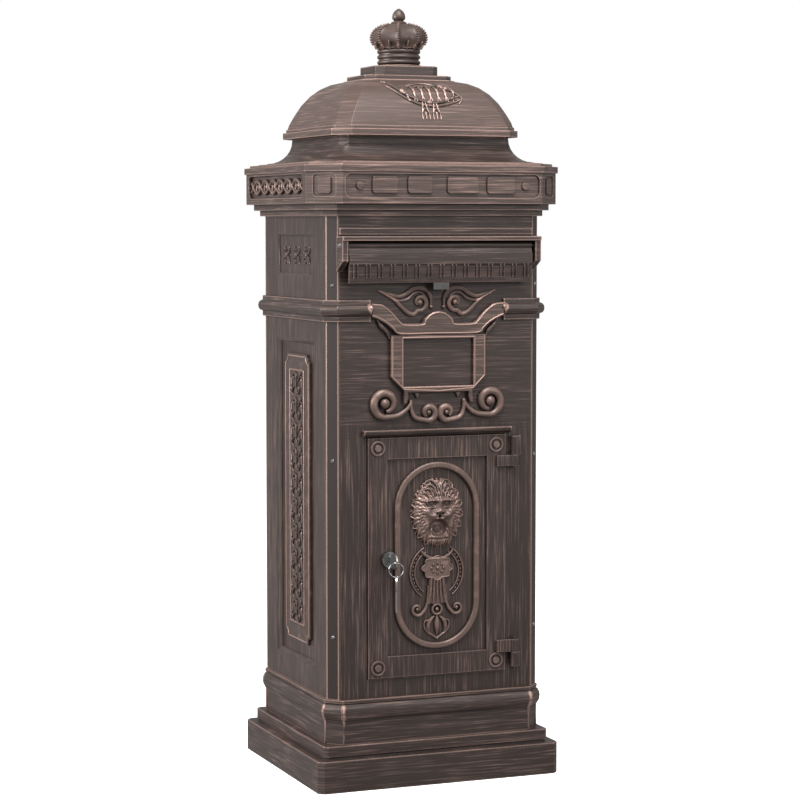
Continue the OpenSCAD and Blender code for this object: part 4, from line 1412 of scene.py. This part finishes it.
@dataclass
class Crown:
    """Banded ring, ribbed crown with beaded arches, and the acorn knob on top."""

    ribs: int = 8
    flute: float = 0.08
    band_half: float = 27.6
    band_mids: tuple[float, ...] = (4.0, 11.2, 18.5)
    bulge_mid: Flat = (12.0, 985.5)
    bulge_reach: Flat = (25.2, 18.6)

    def build(self) -> None:
        """Makes the whole finial."""
        self.ring()
        self.bulge()
        self.knob()

    def ring(self) -> None:
        """The ring of three round bands."""
        room = Room.of("crown_ring")
        foot, head = room.low.z, room.high.z
        wall = self.band_half - 1.2
        profile = [(0.0, foot), (wall, foot)]
        for z in self.band_mids:
            profile += [(wall + 2.8 * math.cos(math.radians(a)), foot + z + 2.9 * math.sin(
                math.radians(a))) for a in range(-80, 81, 20)]
        profile += [(wall, head), (0.0, head)]
        Casting().lathe(profile, 64).finish("crown_ring_casting", CROWN_PAINT, "cast_paint",
                                            "crown_ring")

    def bulge(self) -> None:
        """The ribbed bulge, its arches of beads and the leaf tips at its foot."""
        room = Room.of("crown")
        foot, head = room.low.z, room.high.z
        profile = [(0.0, foot), (28.6, foot)]
        skin = [(self.bulge_mid[0] + self.bulge_reach[0] * math.cos(math.radians(a)),
                 self.bulge_mid[1] + self.bulge_reach[1] * math.sin(math.radians(a)))
                for a in range(-35, 91, 9)]
        profile += skin + [(0.0, head - 0.4)]
        work = Casting().lathe(profile, 96)

        def rib(place: Vector) -> Vector:
            """Draws the skin in between the arches."""
            turn = math.atan2(place.y, place.x)
            sunk = 1.0 - self.flute * 1.6 * abs(math.cos(self.ribs * turn / 2)) ** 0.6
            held = 1.0 if place.z < foot + 1.0 or place.z > head - 1.0 else sunk
            return Vector((place.x * held, place.y * held, place.z))

        work.shape(rib)
        arch = [Vector((r + 0.3, 0.0, z)) for r, z in skin[1:-1]]
        tip = curve([(28.4, foot + 0.5, 0.0), (31.5, foot + 4.5, 0.0), (35.4, foot + 9.5, 0.0)], 3)
        upright = Matrix.Rotation(math.radians(90.0), 4, "X")
        for i in range(self.ribs):
            turn = Matrix.Rotation(math.tau * (i + 0.5) / self.ribs, 4, "Z")
            work.take(Casting().beads(arch, 2.0, 11), turn)
        for i in range(self.ribs * 2):
            turn = Matrix.Rotation(math.tau * i / self.ribs / 2, 4, "Z")
            work.take(Casting().strand(tip, (3.0, 2.4, 0.4), 0.6), turn @ upright)
        work.finish("crown_casting", CROWN_PAINT, "relief_paint", "crown", smooth=50.0)

    def knob(self) -> None:
        """The collar and the acorn knob."""
        room = Room.of("finial_knob")
        foot, head = room.low.z, room.high.z
        profile = [(0.0, foot), (10.4, foot), (10.8, foot + 1.2), (9.6, foot + 2.4),
                   (7.0, foot + 3.4), (6.6, foot + 4.4), (8.6, foot + 6.4), (9.0, foot + 9.4),
                   (8.2, foot + 13.0), (6.2, foot + 16.4), (3.4, head - 1.6), (1.4, head - 0.4),
                   (0.0, head)]
        Casting().lathe(profile, 40).finish("finial_knob_casting", CROWN_PAINT, "relief_paint",
                                            "finial_knob", smooth=50.0)


def dress_nodes() -> None:
    """Gives every CAD node that shows its own finish."""
    finishes = {
        ZINC_STEEL: ("floor_tray", "corner_angles", "letter_chute", "lock_nut", "lock_cam",
                     "cam_screw", "tie_rod"),
        CHROME: ("post_screws", "flap_pins", "lock_body", "lock_plug", "key_ring"),
        DARK_NICKEL: ("lift_tab", "hinge_pins"),
        KEY_STEEL: ("key", "spare_key"),
        FIELD_PAINT: ("name_card",),
    }
    dressed_nodes = {node: finish for finish, nodes in finishes.items() for node in nodes}
    for name, node in frame["nodes"].items():
        finish = dressed_nodes.get(name, RELIEF_PAINT)
        node.data.materials.clear()
        node.data.materials.append(dressed(finish))


# ---------------------------------------------------------------- studio


@dataclass(frozen=True)
class Studio:
    """Pale floor, soft light and the camera."""

    eye: tuple[float, float, float] = (-1.2007, -3.0092, 0.7329)
    target: tuple[float, float, float] = (0.0016, -0.0006, 0.4969)
    lens: float = 107.34
    surround: float = 0.40
    floor_glow: float = 0.68

    def build(self) -> None:
        """Sets up the whole studio."""
        self.floor()
        self.world()
        self.lamp("top_light", (-0.4, -1.3, 2.9), 1.7, 118.0)
        self.lamp("key_light", (-3.2, 0.4, 1.4), 1.8, 138.0)
        self.lamp("fill_light", (1.6, -3.4, 1.7), 1.6, 34.0)
        self.camera()

    def floor(self) -> None:
        """A pale floor that isn't part of the object."""
        bm = bmesh.new()
        bmesh.ops.create_grid(bm, x_segments=1, y_segments=1, size=12.0)
        mesh = bpy.data.meshes.new("floor")
        bm.to_mesh(mesh)
        bm.free()
        bench = Bench("pale_floor")
        mottle = bench.noise(bench.place(), (3.0, 3.0, 3.0), 2.0)
        mesh.materials.append(bench.surface({
            "Base Color": bench.blend(mottle, (0.93, 0.93, 0.93, 1.0), (0.95, 0.95, 0.95, 1.0)),
            "Roughness": 0.8,
            "Emission Color": (1.0, 1.0, 1.0, 1.0),
            "Emission Strength": self.floor_glow,
        }))
        floor = bpy.data.objects.new("floor", mesh)
        floor.visible_diffuse = False
        floor.visible_glossy = False
        bpy.context.scene.collection.objects.link(floor)

    def world(self) -> None:
        """An even white surround."""
        world = bpy.data.worlds.new("studio")
        world.use_nodes = True
        nodes, links = world.node_tree.nodes, world.node_tree.links
        sky = nodes["Background"]
        sky.inputs["Color"].default_value = (1.0, 1.0, 1.0, 1.0)
        path = nodes.new("ShaderNodeLightPath")
        strength = nodes.new("ShaderNodeMapRange")
        strength.inputs["To Min"].default_value = self.surround
        links.new(path.outputs["Is Camera Ray"], strength.inputs["Value"])
        links.new(strength.outputs["Result"], sky.inputs["Strength"])
        bpy.context.scene.world = world
        bpy.context.scene.view_settings.view_transform = "Standard"

    def lamp(self, name: str, place: tuple[float, float, float], size: float,
             power: float) -> None:
        """One large soft lamp aimed at the object.

        Args:
            name: Name of the lamp.
            place: Where it stands, in metres.
            size: Side of its square.
            power: Watts.
        """
        data = bpy.data.lights.new(name, "AREA")
        data.size = size
        data.energy = power
        lamp = bpy.data.objects.new(name, data)
        lamp.location = place
        lamp.rotation_euler = (Vector(self.target) - lamp.location).to_track_quat(
            "-Z", "Y").to_euler()
        bpy.context.scene.collection.objects.link(lamp)

    def camera(self) -> None:
        """The camera, level and slightly above the middle."""
        data = bpy.data.cameras.new("camera")
        data.lens = self.lens
        camera = bpy.data.objects.new("camera", data)
        camera.location = self.eye
        camera.rotation_euler = (Vector(self.target) - camera.location).to_track_quat(
            "-Z", "Y").to_euler()
        bpy.context.scene.collection.objects.link(camera)
        bpy.context.scene.camera = camera


def main() -> None:
    """Builds the studio, gives the CAD nodes their finishes and builds every sub-assembly, logging
    each one's name.
    """
    logging.basicConfig(level=logging.INFO, format="%(message)s")
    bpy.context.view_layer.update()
    Studio().build()
    dress_nodes()
    for assembly in (Case(), LetterSlot(), FrontOrnament(), Door(), Frieze(), DomeGarland(),
                     Crown(), SideOrnament(Facing.LEFT, "left"),
                     SideOrnament(Facing.RIGHT, "right")):
        LOG.info("%s", type(assembly).__name__)
        assembly.build()


if __name__ == "__main__":
    main()
